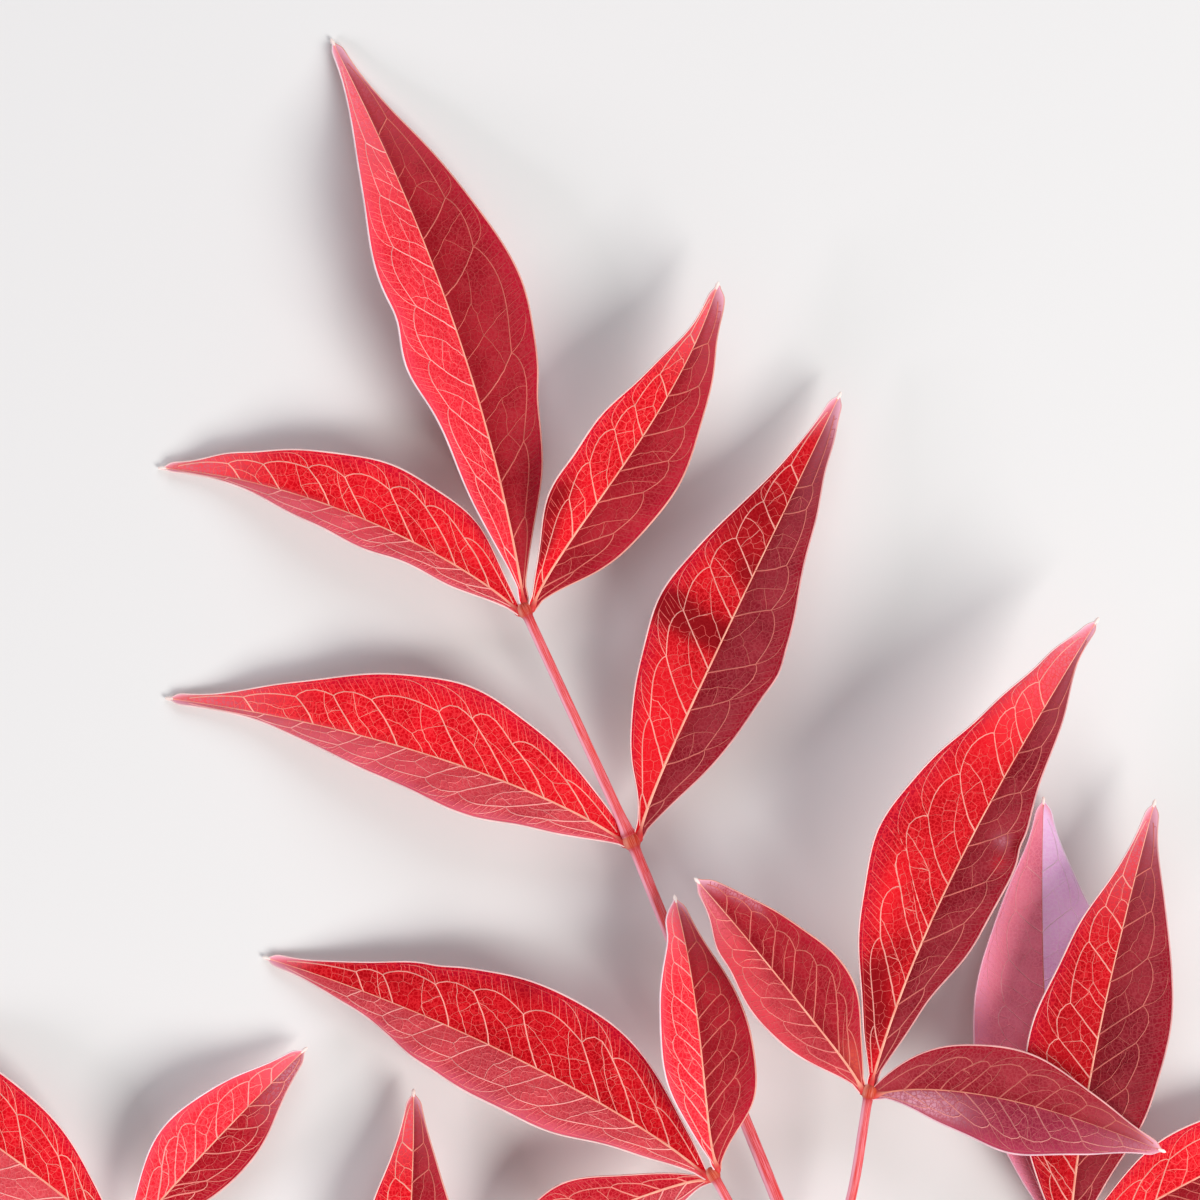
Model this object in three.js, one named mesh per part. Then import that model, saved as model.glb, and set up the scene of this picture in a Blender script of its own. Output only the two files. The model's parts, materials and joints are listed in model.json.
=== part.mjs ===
// A spray of heavenly bamboo leaflets in autumn red, cut from its shrub and laid down flat.
// A main stalk carries side stalks in pairs. Every stalk runs from joint to joint, and each
// joint carries two side stalks or leaflets and one that goes on. Each leaflet is a thin blade,
// folded up along its midrib like an open book.
// Millimetres, +Z up. The origin is on the table, under the middle of the whole spray.

import * as THREE from "three";

// ---- Driving dimensions -------------------------------------------------------------------

const GAP = 0.3; // clear space between a joint and what goes on from it
const SIDE_GAP = 0.55; // the same for a leaflet on a joint's flank
const JOINT_SWELL = 1.55; // a joint is this much thicker than the stalk that it ends
const JOINT_REACH = 2.2; // the swelling starts this many stalk radii before the joint
const SWELLING = [[-0.9, 0.78], [-0.45, 0.96], [0, 1], [0.5, 0.87], [0.88, 0.48]]; // along, across
const STALK_SIDES = 10;
const STALK_RINGS = 7;
const STALK_SKEW = -0.6; // a side stalk's bow is nearest its start

const OUTLINE_BASE = 1.55; // how fast a half blade widens from its base
const OUTLINE_TIP = 1.5; // how fast it narrows to its tip
const BASE_FLARE = 0.64; // no half blade is wider than this share of the way from its joint
const FLARE_BLEND = 6; // how sharply the outline turns into that wedge
const BASE_HALF_WIDTH = 0.34; // of the short foot that meets the joint
const TIP_HALF_WIDTH = 0.14;
const FOOT_SHIFT = 0.8; // a side leaflet sits this far out on its joint's flank
const FOOT_FADE = 14; // how fast its midrib swings back to its own line
const SIDE_TURN = 15; // a leaflet that turns further than this from its stalk is a side leaflet
const THICKNESS_SHARE = 0.0115; // blade thickness as a share of its length
const MARGIN_THINNING = 0.62; // the margin's thickness beside the midrib's
const STATION_SPACING = 5.2; // along the blade
const ACROSS = [-1, -0.5, 0, 0.5, 1]; // from the left margin over the midrib to the right one

const CUT_POINT = new THREE.Vector3(48, -156, 1.3); // centre of the cut through the main stalk

// Each stalk: where it starts, the way it points seen from above, its length, the height of the
// joint at its end, its radius at both ends, and its bow to the left, which is strongest near
// its start, as a side stalk leaves its joint wide and then turns along the main one.
const STALKS = [
  { joint: "fork", from: "cut", heading: 105.5, length: 26, height: 5, radii: [1.3, 1.15], bow: 0 },
  { joint: "middle", from: "fork", heading: 107.8, length: 51, height: 7, radii: [1.05, 0.85], bow: 0 },
  { joint: "upper", from: "middle", heading: 112.1, length: 57.7, height: 6.5, radii: [0.8, 0.68],
    bow: 0 },
  { joint: "top", from: "upper", heading: 114.8, length: 30.6, height: 6.5, radii: [0.66, 0.6], bow: 0 },
  { joint: "crown_left", from: "middle", heading: 131.5, length: 18.1, height: 9, radii: [0.62, 0.56],
    bow: 1.9 },
  { joint: "crown_right", from: "middle", heading: 74.1, length: 24.6, height: 12, radii: [0.64, 0.58],
    bow: -1.5 },
  { joint: "left_inner", from: "fork", heading: 152, length: 40, height: 4.5, radii: [0.8, 0.72],
    bow: 1.2 },
  { joint: "left_middle", from: "left_inner", heading: 152.6, length: 34.9, height: 4, radii: [0.7, 0.64],
    bow: 0 },
  { joint: "left_outer", from: "left_middle", heading: 150.6, length: 37.2, height: 4, radii: [0.62, 0.56],
    bow: 0 },
  { joint: "right_inner", from: "fork", heading: 74.3, length: 26.7, height: 4, radii: [0.76, 0.68],
    bow: -1.4 },
  { joint: "right_outer", from: "right_inner", heading: 72.9, length: 27.7, height: 4, radii: [0.66, 0.58],
    bow: 0 },
];

// Each leaflet: its joint, the way it points, its length, the half widths left and right of the
// midrib, how far each half is folded up, how full each half is near its base (1 is even, less
// puts the widest place nearer the joint), the midrib's bow to the left and its skew along it,
// and three heights: that under the tip, 0 where it rests on the table, the rise of the middle
// and the lift of the foot over its joint. A flare narrows the foot where a neighbour is close.
const LEAFLETS = [
  { name: "top_end", at: "top", heading: 108.8, length: 73.1, widths: [9.9, 9.0], folds: [48, 8],
    fullness: [0.98, 0.96], bow: -3.0, skew: -0.1, tip: 0, rise: 1.5, lift: 0, flare: [0.37, 0.4] },
  { name: "top_left", at: "top", heading: 158.9, length: 47.7, widths: [5.3, 7.8], folds: [52, 18],
    fullness: [0.75, 0.76], bow: -3.2, skew: 0.1, tip: 0, rise: 0.8, lift: 0, flare: [0.6, 0.45] },
  { name: "top_right", at: "top", heading: 59.4, length: 45.8, widths: [6.7, 7.0], folds: [38, 12],
    fullness: [0.9, 0.88], bow: -1.5, skew: 0.9, tip: 8, rise: 0, lift: 0 },
  { name: "upper_left", at: "upper", heading: 163.2, length: 59, widths: [7.2, 9.9], folds: [46, 14],
    fullness: [0.65, 0.68], bow: -2.7, skew: -0.1, tip: 0, rise: 0.8, lift: -0.3, flare: [0.6, 0.4] },
  { name: "upper_right", at: "upper", heading: 64.9, length: 59.7, widths: [9.0, 7.7], folds: [24, 18],
    fullness: [0.86, 0.8], bow: 0.3, skew: -0.9, tip: 4, rise: 1, lift: 0 },
  { name: "crown_left_end", at: "crown_left", heading: 154.8, length: 60.1, widths: [8.6, 9.5],
    folds: [46, 16], fullness: [0.76, 0.76], bow: -2.3, skew: 0, tip: 0, rise: 0.5, lift: 0.2,
    flare: [0.44, 0.6] },
  { name: "crown_left_right", at: "crown_left", heading: 97.8, length: 33.8, widths: [6.4, 6.5],
    folds: [38, 12], fullness: [0.95, 0.75], bow: -0.7, skew: 0.5, tip: 9, rise: 1, lift: 0.3 },
  { name: "crown_left_left", at: "crown_left", heading: 203, length: 31, widths: [5.6, 5.8],
    folds: [26, 24], fullness: [0.85, 0.95], bow: -0.8, skew: 0, tip: 3.6, rise: 0.6, lift: -0.4,
    flare: [0.6, 0.38] },
  { name: "crown_right_end", at: "crown_right", heading: 64.1, length: 63, widths: [11.3, 6.5],
    folds: [30, 20], fullness: [0.9, 0.85], bow: 2.3, skew: -0.3, tip: 11, rise: 1, lift: 0 },
  { name: "crown_right_left", at: "crown_right", heading: 129.3, length: 33.1, widths: [5.5, 7.4],
    folds: [30, 16], fullness: [0.88, 0.94], bow: -0.2, skew: 0.9, tip: 14, rise: 0.8, lift: 0 },
  { name: "crown_right_right", at: "crown_right", heading: -11.9, length: 36.5, widths: [6.5, 6.5],
    folds: [22, 28], fullness: [0.74, 0.9], bow: 2.3, skew: -0.3, tip: 9, rise: 0.6, lift: 0 },
  { name: "left_inner_up", at: "left_inner", heading: 92, length: 32, widths: [5.6, 5.4],
    folds: [30, 20], fullness: [0.9, 0.85], bow: -0.6, skew: 0, tip: 4.5, rise: 0.8, lift: 0 },
  { name: "left_inner_down", at: "left_inner", heading: 216, length: 38, widths: [6.2, 6.4],
    folds: [24, 30], fullness: [0.85, 0.85], bow: 1.2, skew: 0, tip: 0, rise: 0.8, lift: 0 },
  { name: "left_middle_up", at: "left_middle", heading: 85.8, length: 37.2, widths: [5.8, 5.8],
    folds: [30, 18], fullness: [0.9, 0.85], bow: -0.8, skew: 0, tip: 3, rise: 1, lift: 0 },
  { name: "left_middle_down", at: "left_middle", heading: 212, length: 42, widths: [6.4, 6.8],
    folds: [30, 22], fullness: [0.85, 0.8], bow: 1.4, skew: 0, tip: 0, rise: 0.8, lift: 0 },
  { name: "left_outer_end", at: "left_outer", heading: 147, length: 52, widths: [7.6, 8.0],
    folds: [34, 16], fullness: [0.8, 0.8], bow: -1.8, skew: 0, tip: 0, rise: 1, lift: 0 },
  { name: "left_outer_right", at: "left_outer", heading: 46.9, length: 32.6, widths: [6.2, 5.4],
    folds: [24, 28], fullness: [0.9, 0.95], bow: 0.4, skew: -0.2, tip: 2, rise: 1, lift: 0 },
  { name: "left_outer_left", at: "left_outer", heading: 204, length: 40, widths: [6.0, 6.6],
    folds: [32, 20], fullness: [0.82, 0.8], bow: 1.2, skew: 0, tip: 0, rise: 0.8, lift: 0 },
  { name: "right_inner_left", at: "right_inner", heading: 122, length: 31, widths: [5.4, 5.4],
    folds: [30, 20], fullness: [0.9, 0.85], bow: -0.7, skew: 0, tip: 3, rise: 0.8, lift: 0,
    flare: [0.6, 0.45] },
  { name: "right_inner_right", at: "right_inner", heading: 20, length: 42, widths: [6.8, 6.4],
    folds: [24, 30], fullness: [0.85, 0.85], bow: 1.4, skew: 0, tip: 0, rise: 0.8, lift: 0 },
  { name: "right_outer_left", at: "right_outer", heading: 92.9, length: 55.1, widths: [9.4, 6.6],
    folds: [20, 5], fullness: [0.89, 1.3], bow: 1.2, skew: 0, tip: 2, rise: 0, lift: -0.7 },
  { name: "right_outer_end", at: "right_outer", heading: 79.4, length: 55.8, widths: [9.2, 8.6],
    folds: [26, 20], fullness: [0.75, 0.9], bow: 1.4, skew: -0.3, tip: 8, rise: 0.8, lift: 0.8 },
  { name: "right_outer_right", at: "right_outer", heading: 26, length: 42, widths: [6.8, 6.6],
    folds: [22, 28], fullness: [0.85, 0.85], bow: 1.2, skew: 0, tip: 0, rise: 0.8, lift: 0 },
];

const LEAF_RED = new THREE.MeshStandardMaterial({ color: 0xc5263a, roughness: 0.48, metalness: 0 });
const STALK_RED = new THREE.MeshStandardMaterial({ color: 0xb84a4c, roughness: 0.45, metalness: 0 });

// ---- Helpers ------------------------------------------------------------------------------

const UP = new THREE.Vector3(0, 0, 1);

/** Unit vector that points along a heading, seen from above. */
function along(heading) {
  const angle = THREE.MathUtils.degToRad(heading);
  return new THREE.Vector3(Math.cos(angle), Math.sin(angle), 0);
}

/** A closed surface through equal rings of points, with a fan on its first and last ring. */
function loft(rings) {
  const size = rings[0].length;
  const position = [];
  const index = [];
  for (const ring of rings) for (const point of ring) position.push(point.x, point.y, point.z);
  for (let r = 0; r + 1 < rings.length; r++) {
    for (let i = 0; i < size; i++) {
      const a = r * size + i;
      const b = r * size + ((i + 1) % size);
      index.push(a, b, b + size, a, b + size, a + size);
    }
  }
  const last = (rings.length - 1) * size;
  for (let i = 1; i + 1 < size; i++) {
    index.push(0, i + 1, i);
    index.push(last, last + i, last + i + 1);
  }
  const geometry = new THREE.BufferGeometry();
  geometry.setAttribute("position", new THREE.Float32BufferAttribute(position, 3));
  geometry.setIndex(index);
  geometry.computeVertexNormals();
  return geometry;
}

// ---- Stalks -------------------------------------------------------------------------------

/** Joints by name: where each one is, and the radius of its swelling. */
const joints = new Map([["cut", { point: CUT_POINT, radius: 0 }]]);

/** A ring of points around a stalk, square to the way it runs. */
function stalkRing(centre, direction, radius) {
  const side = new THREE.Vector3().crossVectors(direction, UP).normalize();
  const over = new THREE.Vector3().crossVectors(side, direction);
  return Array.from({ length: STALK_SIDES }, (_, i) => {
    const angle = (2 * Math.PI * (i + 0.5)) / STALK_SIDES;
    return centre
      .clone()
      .addScaledVector(side, radius * Math.cos(angle))
      .addScaledVector(over, -radius * Math.sin(angle));
  });
}

/** Point at a share of the way along a stalk, from joint centre to joint centre. */
function stalkPoint(share, start, end, { heading, bow }) {
  const lateral = bow * 4 * share * (1 - share) * (1 + STALK_SKEW * (2 * share - 1));
  return start.clone().lerp(end, share).addScaledVector(along(heading + 90), lateral);
}

/** One tapering stalk with the swollen joint at its end. */
function stalkGeometry(stalk) {
  const { joint, from, heading, length, height, radii } = stalk;
  const start = joints.get(from);
  const end = start.point.clone().addScaledVector(along(heading), length).setZ(height);
  const swelling = JOINT_SWELL * radii[1];
  joints.set(joint, { point: end, radius: swelling, heading });
  const at = (share) => stalkPoint(share, start.point, end, stalk);
  const towards = (share) => at(share + 0.01).sub(at(share - 0.01)).normalize();
  const first = start.radius > 0 ? (start.radius + GAP) / length : 0;
  const neck = 1 - (JOINT_REACH * swelling) / length;
  const rings = [];
  for (let i = 0; i <= STALK_RINGS; i++) {
    const share = THREE.MathUtils.lerp(first, neck, i / STALK_RINGS);
    const radius = THREE.MathUtils.lerp(radii[0], radii[1], i / STALK_RINGS);
    rings.push(stalkRing(at(share), towards(share), radius));
  }
  const direction = towards(1);
  for (const [share, swell] of SWELLING) {
    const centre = end.clone().addScaledVector(direction, share * swelling);
    rings.push(stalkRing(centre, direction, swell * swelling));
  }
  return loft(rings);
}

// ---- Leaflets -----------------------------------------------------------------------------

const WIDEST = OUTLINE_BASE / (OUTLINE_BASE + OUTLINE_TIP);

/** Half width at a share of the way from joint to tip. */
function halfWidth(share, leaflet, side) {
  const x = share ** leaflet.fullness[side];
  const outline = (x / WIDEST) ** OUTLINE_BASE * ((1 - x) / (1 - WIDEST)) ** OUTLINE_TIP;
  const full = Math.max(leaflet.widths[side] * outline, 0.001);
  const wedge = (leaflet.flare?.[side] ?? BASE_FLARE) * share * leaflet.length;
  const width = (full ** -FLARE_BLEND + wedge ** -FLARE_BLEND) ** (-1 / FLARE_BLEND);
  const least = THREE.MathUtils.lerp(BASE_HALF_WIDTH, TIP_HALF_WIDTH, share);
  return Math.max(width, least);
}

/** 1 for a leaflet on its joint's left flank, -1 on the right one, 0 if it goes straight on. */
function flank(leaflet, joint) {
  const turn = leaflet.heading - joint.heading;
  return Math.abs(turn) > SIDE_TURN ? Math.sign(turn) : 0;
}

/** Midrib point at a share of the way from joint to tip. */
function midrib(share, leaflet, joint) {
  const forward = along(leaflet.heading);
  const left = along(leaflet.heading + 90);
  const arc = 4 * share * (1 - share);
  const shift = flank(leaflet, joint) * FOOT_SHIFT * (1 - share) ** FOOT_FADE;
  const foot = joint.point.z + leaflet.lift;
  const point = joint.point.clone().addScaledVector(forward, share * leaflet.length);
  point.addScaledVector(left, shift + leaflet.bow * arc * (1 + leaflet.skew * (2 * share - 1)));
  const tip = leaflet.tip + THICKNESS_SHARE * leaflet.length;
  point.z = THREE.MathUtils.lerp(foot, tip, share) + leaflet.rise * arc;
  return point;
}

/** A thin blade that rises on both sides of its midrib. */
function bladeGeometry(leaflet) {
  const joint = joints.get(leaflet.at);
  const thickness = THICKNESS_SHARE * leaflet.length;
  const clear = flank(leaflet, joint) === 0 ? GAP : SIDE_GAP;
  const first = (joint.radius + clear) / leaflet.length;
  const stations = Math.round(leaflet.length / STATION_SPACING);
  const rings = [];
  for (let i = 0; i <= stations; i++) {
    const share = first + (1 - first) * (i / stations);
    const centre = midrib(share, leaflet, joint);
    const ahead = midrib(share + 0.001, leaflet, joint).sub(midrib(share - 0.001, leaflet, joint));
    const left = new THREE.Vector3(-ahead.y, ahead.x, 0).normalize();
    const top = [];
    const bottom = [];
    for (const across of ACROSS) {
      const side = across <= 0 ? 0 : 1;
      const fold = THREE.MathUtils.degToRad(leaflet.folds[side]);
      const outward = side === 0 ? left : left.clone().negate();
      const reach = Math.abs(across) * halfWidth(share, leaflet, side);
      const point = centre.clone().addScaledVector(outward, reach * Math.cos(fold));
      point.z += reach * Math.sin(fold);
      const down = across === 0 ? UP.clone().negate() : outward.clone().multiplyScalar(Math.sin(fold));
      if (across !== 0) down.z = -Math.cos(fold);
      const thin = THREE.MathUtils.lerp(1, MARGIN_THINNING, Math.abs(across));
      top.push(point);
      bottom.unshift(point.clone().addScaledVector(down, thickness * thin));
    }
    rings.push([...bottom, ...top]);
  }
  return loft(rings);
}

// ---- The spray ----------------------------------------------------------------------------

const spray = new THREE.Group();

for (const stalk of STALKS) {
  const mesh = new THREE.Mesh(stalkGeometry(stalk), STALK_RED.clone());
  mesh.name = `stalk_${stalk.joint}`;
  spray.add(mesh);
}

for (const leaflet of LEAFLETS) {
  const mesh = new THREE.Mesh(bladeGeometry(leaflet), LEAF_RED.clone());
  mesh.name = `leaflet_${leaflet.name}`;
  spray.add(mesh);
}

// The spray rests on its lowest points, with the origin under the middle of its box.
const box = new THREE.Box3().setFromObject(spray);
const middle = box.getCenter(new THREE.Vector3());
spray.position.set(-middle.x, -middle.y, -box.min.z);
spray.updateMatrixWorld(true);

export default spray;
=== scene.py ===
# %% [markdown]
# # A spray of heavenly bamboo in autumn red
#
# Heavenly bamboo is an evergreen shrub whose leaves are divided several times over. A thin
# stalk runs from one swollen joint to the next, and each joint carries side stalks or narrow,
# pointed leaflets. In autumn everything turns red. This lesson dresses a plain solid model of
# one cut spray: it keeps the stalks and leaflets where they are, and gives them thin blades,
# raised veins, rims painted pale with rim light, and a waxy skin.

# %% Load the fixed frame
import json
from collections import namedtuple

import bpy
import numpy as np
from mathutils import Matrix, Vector
from mathutils.geometry import delaunay_2d_cdt


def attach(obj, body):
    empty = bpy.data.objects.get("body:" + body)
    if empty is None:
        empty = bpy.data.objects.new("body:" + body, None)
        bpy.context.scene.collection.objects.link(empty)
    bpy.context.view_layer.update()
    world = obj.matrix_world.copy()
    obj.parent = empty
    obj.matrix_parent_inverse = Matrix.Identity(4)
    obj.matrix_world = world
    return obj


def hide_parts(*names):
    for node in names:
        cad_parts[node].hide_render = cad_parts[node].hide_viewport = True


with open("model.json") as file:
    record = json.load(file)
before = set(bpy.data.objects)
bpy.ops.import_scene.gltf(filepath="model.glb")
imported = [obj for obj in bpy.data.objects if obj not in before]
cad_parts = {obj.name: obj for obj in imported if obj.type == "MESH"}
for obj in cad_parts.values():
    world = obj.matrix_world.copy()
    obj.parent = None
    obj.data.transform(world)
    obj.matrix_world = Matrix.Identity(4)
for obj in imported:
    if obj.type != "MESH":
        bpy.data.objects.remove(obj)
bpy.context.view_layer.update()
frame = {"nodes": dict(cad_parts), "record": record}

print("plain solids:", len(frame["nodes"]))

# %% [markdown]
# ## The rule of the plant
#
# Every stalk is one line of a table: the joint that it ends in, the joint that it starts from,
# the way it points seen from above, its length, the height of its joint, its two radii and its
# bow. The plain solids follow the same rule, so a dressed stalk falls on its solid by itself.
# Sizes are millimetres here, since that is how one measures a leaf, and turn into metres only
# when a mesh is made.

# %% Stalks and their joints
MM = 0.001
UP = np.array([0.0, 0.0, 1.0])
CUT_POINT = np.array([48.0, -156.0, 1.3])
JOINT_SWELL = 1.55  # a joint is this much thicker than the stalk that it ends
STALK_SKEW = -0.6  # a side stalk's bow is nearest its start

Stalk = namedtuple("Stalk", "joint start heading length height radii bow")
Joint = namedtuple("Joint", "point radius heading")
STALKS = [
    Stalk("fork", "cut", 105.5, 26, 5, (1.3, 1.15), 0),
    Stalk("middle", "fork", 107.8, 51, 7, (1.05, 0.85), 0),
    Stalk("upper", "middle", 112.1, 57.7, 6.5, (0.8, 0.68), 0),
    Stalk("top", "upper", 114.8, 30.6, 6.5, (0.66, 0.6), 0),
    Stalk("crown_left", "middle", 131.5, 18.1, 9, (0.62, 0.56), 1.9),
    Stalk("crown_right", "middle", 74.1, 24.6, 12, (0.64, 0.58), -1.5),
    Stalk("left_inner", "fork", 152, 40, 4.5, (0.8, 0.72), 1.2),
    Stalk("left_middle", "left_inner", 152.6, 34.9, 4, (0.7, 0.64), 0),
    Stalk("left_outer", "left_middle", 150.6, 37.2, 4, (0.62, 0.56), 0),
    Stalk("right_inner", "fork", 74.3, 26.7, 4, (0.76, 0.68), -1.4),
    Stalk("right_outer", "right_inner", 72.9, 27.7, 4, (0.66, 0.58), 0),
]


def pointing(heading):
    """Unit vector that points along a heading in degrees, seen from above."""
    angle = np.radians(heading)
    return np.array([np.cos(angle), np.sin(angle), 0.0])


def unit(vectors):
    """The same directions with length 1."""
    return vectors / np.maximum(np.linalg.norm(vectors, axis=-1, keepdims=True), 1e-6)


def bump(place, middle, size):
    """A soft bump, 1 in its middle, that has mostly gone one size away from it."""
    return np.exp(-(((place - middle) / size) ** 2))


joints = {"cut": Joint(CUT_POINT, 0.0, 0.0)}
for stalk in STALKS:
    end = joints[stalk.start].point + stalk.length * pointing(stalk.heading)
    end[2] = stalk.height
    joints[stalk.joint] = Joint(end, JOINT_SWELL * stalk.radii[1], stalk.heading)

cut_mount = next(m for m in frame["record"]["mounts"] if m["name"] == "cut_end")
SHIFT = np.array(cut_mount["pos_m"]) / MM - CUT_POINT  # from the table's origin to the frame's
print("joints:", len(joints) - 1, "shift in mm:", SHIFT.round(2))

# %% [markdown]
# ## The leaflets
#
# A leaflet is a folded blade. Its two halves have their own width, fold and fullness, because
# no real leaflet is even. Its two tints, for the left and the right half, paint the light and
# shade that fall on each half. Lengths and heights are in mm and angles in degrees.

# %% Leaflet table
BASE_FLARE = 0.64  # no half blade is wider than this share of the way from its joint
Leaflet = namedtuple(
    "Leaflet",
    "name joint heading length widths folds fullness bow skew tip rise tones lift flare",
    defaults=(0.0, (BASE_FLARE, BASE_FLARE)),
)
LEAFLETS = [
    Leaflet("top_end", "top", 108.8, 73.1, (9.9, 9.0), (48, 8), (0.98, 0.96),
            -3.0, -0.1, 0, 1.5, ("coral", "maroon"), 0, (0.37, 0.4)),
    Leaflet("top_left", "top", 158.9, 47.7, (5.3, 7.8), (52, 18), (0.75, 0.76),
            -3.2, 0.1, 0, 0.8, ("dusky", "scarlet"), 0, (0.6, 0.45)),
    Leaflet("top_right", "top", 59.4, 45.8, (6.7, 7.0), (38, 12), (0.9, 0.88),
            -1.5, 0.9, 8, 0, ("scarlet", "maroon")),
    Leaflet("upper_left", "upper", 163.2, 59, (7.2, 9.9), (46, 14), (0.65, 0.68),
            -2.7, -0.1, 0, 0.8, ("dusky", "scarlet"), -0.3, (0.6, 0.4)),
    Leaflet("upper_right", "upper", 64.9, 59.7, (9.0, 7.7), (24, 18), (0.86, 0.8),
            0.3, -0.9, 4, 1, ("cherry", "wine")),
    Leaflet("crown_left_end", "crown_left", 154.8, 60.1, (8.6, 9.5), (46, 16), (0.76, 0.76),
            -2.3, 0, 0, 0.5, ("dusky", "cherry"), 0.2, (0.44, 0.6)),
    Leaflet("crown_left_right", "crown_left", 97.8, 33.8, (6.4, 6.5), (38, 12), (0.95, 0.75),
            -0.7, 0.5, 9, 1, ("coral", "maroon"), 0.3),
    Leaflet("crown_left_left", "crown_left", 203, 31, (5.6, 5.8), (26, 24), (0.85, 0.95),
            -0.8, 0, 3.6, 0.6, ("dusky", "crimson"), -0.4, (0.6, 0.38)),
    Leaflet("crown_right_end", "crown_right", 64.1, 63, (11.3, 6.5), (30, 20), (0.9, 0.85),
            2.3, -0.3, 11, 1, ("cherry", "wine")),
    Leaflet("crown_right_left", "crown_right", 129.3, 33.1, (5.5, 7.4), (30, 16), (0.88, 0.94),
            -0.2, 0.9, 14, 0.8, ("garnet", "maroon")),
    Leaflet("crown_right_right", "crown_right", -11.9, 36.5, (6.5, 6.5), (22, 28), (0.74, 0.9),
            2.3, -0.3, 9, 0.6, ("wine", "plum")),
    Leaflet("left_inner_up", "left_inner", 92, 32, (5.6, 5.4), (30, 20), (0.9, 0.85),
            -0.6, 0, 4.5, 0.8, ("scarlet", "maroon")),
    Leaflet("left_inner_down", "left_inner", 216, 38, (6.2, 6.4), (24, 30), (0.85, 0.85),
            1.2, 0, 0, 0.8, ("plum", "crimson")),
    Leaflet("left_middle_up", "left_middle", 85.8, 37.2, (5.8, 5.8), (30, 18), (0.9, 0.85),
            -0.8, 0, 3, 1, ("scarlet", "maroon")),
    Leaflet("left_middle_down", "left_middle", 212, 42, (6.4, 6.8), (30, 22), (0.85, 0.8),
            1.4, 0, 0, 0.8, ("dusky", "scarlet")),
    Leaflet("left_outer_end", "left_outer", 147, 52, (7.6, 8.0), (34, 16), (0.8, 0.8),
            -1.8, 0, 0, 1, ("dusky", "scarlet")),
    Leaflet("left_outer_right", "left_outer", 46.9, 32.6, (6.2, 5.4), (24, 28), (0.9, 0.95),
            0.4, -0.2, 2, 1, ("coral", "crimson")),
    Leaflet("left_outer_left", "left_outer", 204, 40, (6.0, 6.6), (32, 20), (0.82, 0.8),
            1.2, 0, 0, 0.8, ("plum", "scarlet")),
    Leaflet("right_inner_left", "right_inner", 122, 31, (5.4, 5.4), (30, 20), (0.9, 0.85),
            -0.7, 0, 3, 0.8, ("crimson", "maroon"), 0, (0.6, 0.45)),
    Leaflet("right_inner_right", "right_inner", 20, 42, (6.8, 6.4), (24, 30), (0.85, 0.85),
            1.4, 0, 0, 0.8, ("scarlet", "plum")),
    Leaflet("right_outer_left", "right_outer", 92.9, 55.1, (9.4, 6.6), (20, 5), (0.89, 1.3),
            1.2, 0, 2, 0, ("rose", "lilac"), -0.7),
    Leaflet("right_outer_end", "right_outer", 79.4, 55.8, (9.2, 8.6), (26, 20), (0.75, 0.9),
            1.4, -0.3, 8, 0.8, ("cherry", "wine"), 0.8),
    Leaflet("right_outer_right", "right_outer", 26, 42, (6.8, 6.6), (22, 28), (0.85, 0.85),
            1.2, 0, 0, 0.8, ("scarlet", "maroon")),
]
SEEDS = {leaflet.name: number for number, leaflet in enumerate(LEAFLETS)}
print("leaflets:", len(LEAFLETS))

# %% [markdown]
# ## One outline, one midrib
#
# The half width at any point is a smooth bump, narrowed to a wedge at the foot. A real margin
# is never a clean curve: it sways in and out, and swells or draws in where the leaflet grew
# unevenly. A slow wave gives the first, and a few soft bumps for each leaflet the second. All
# of it is a formula, so a vein can ask for the width anywhere.

# %% Outline of a half blade
OUTLINE_BASE = 1.55  # the higher, the more slowly a blade widens, and below the same at its tip
OUTLINE_TIP = 1.5
WIDEST = OUTLINE_BASE / (OUTLINE_BASE + OUTLINE_TIP)
FLARE_BLEND = 6  # the higher, the more sharply the wedge at the foot passes into the bump
BASE_HALF_WIDTH = 0.85  # mm, the least at the foot, and below the least at the tip
BASE_FADE = 6.0  # mm over which the foot of a blade narrows to the least width
BASE_SHOULDER = 1.4  # mm over which the foot rounds off
TIP_HALF_WIDTH = 0.14
MARGIN_SWAY = 0.11  # mm in and out
SWAY_FROM = 4  # mm of half width from which a margin sways in full
TIP_SHOULDER = 0.7  # mm that a blunt tip is wider on each side
SHOULDER_LENGTH = (0.8, 4.2)  # mm over which that comes and goes again
BLADE_END = 0.45  # mm before the very tip, where only the hard point goes on
WAVE_LENGTHS = (11.0, 16.0)  # mm
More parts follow.
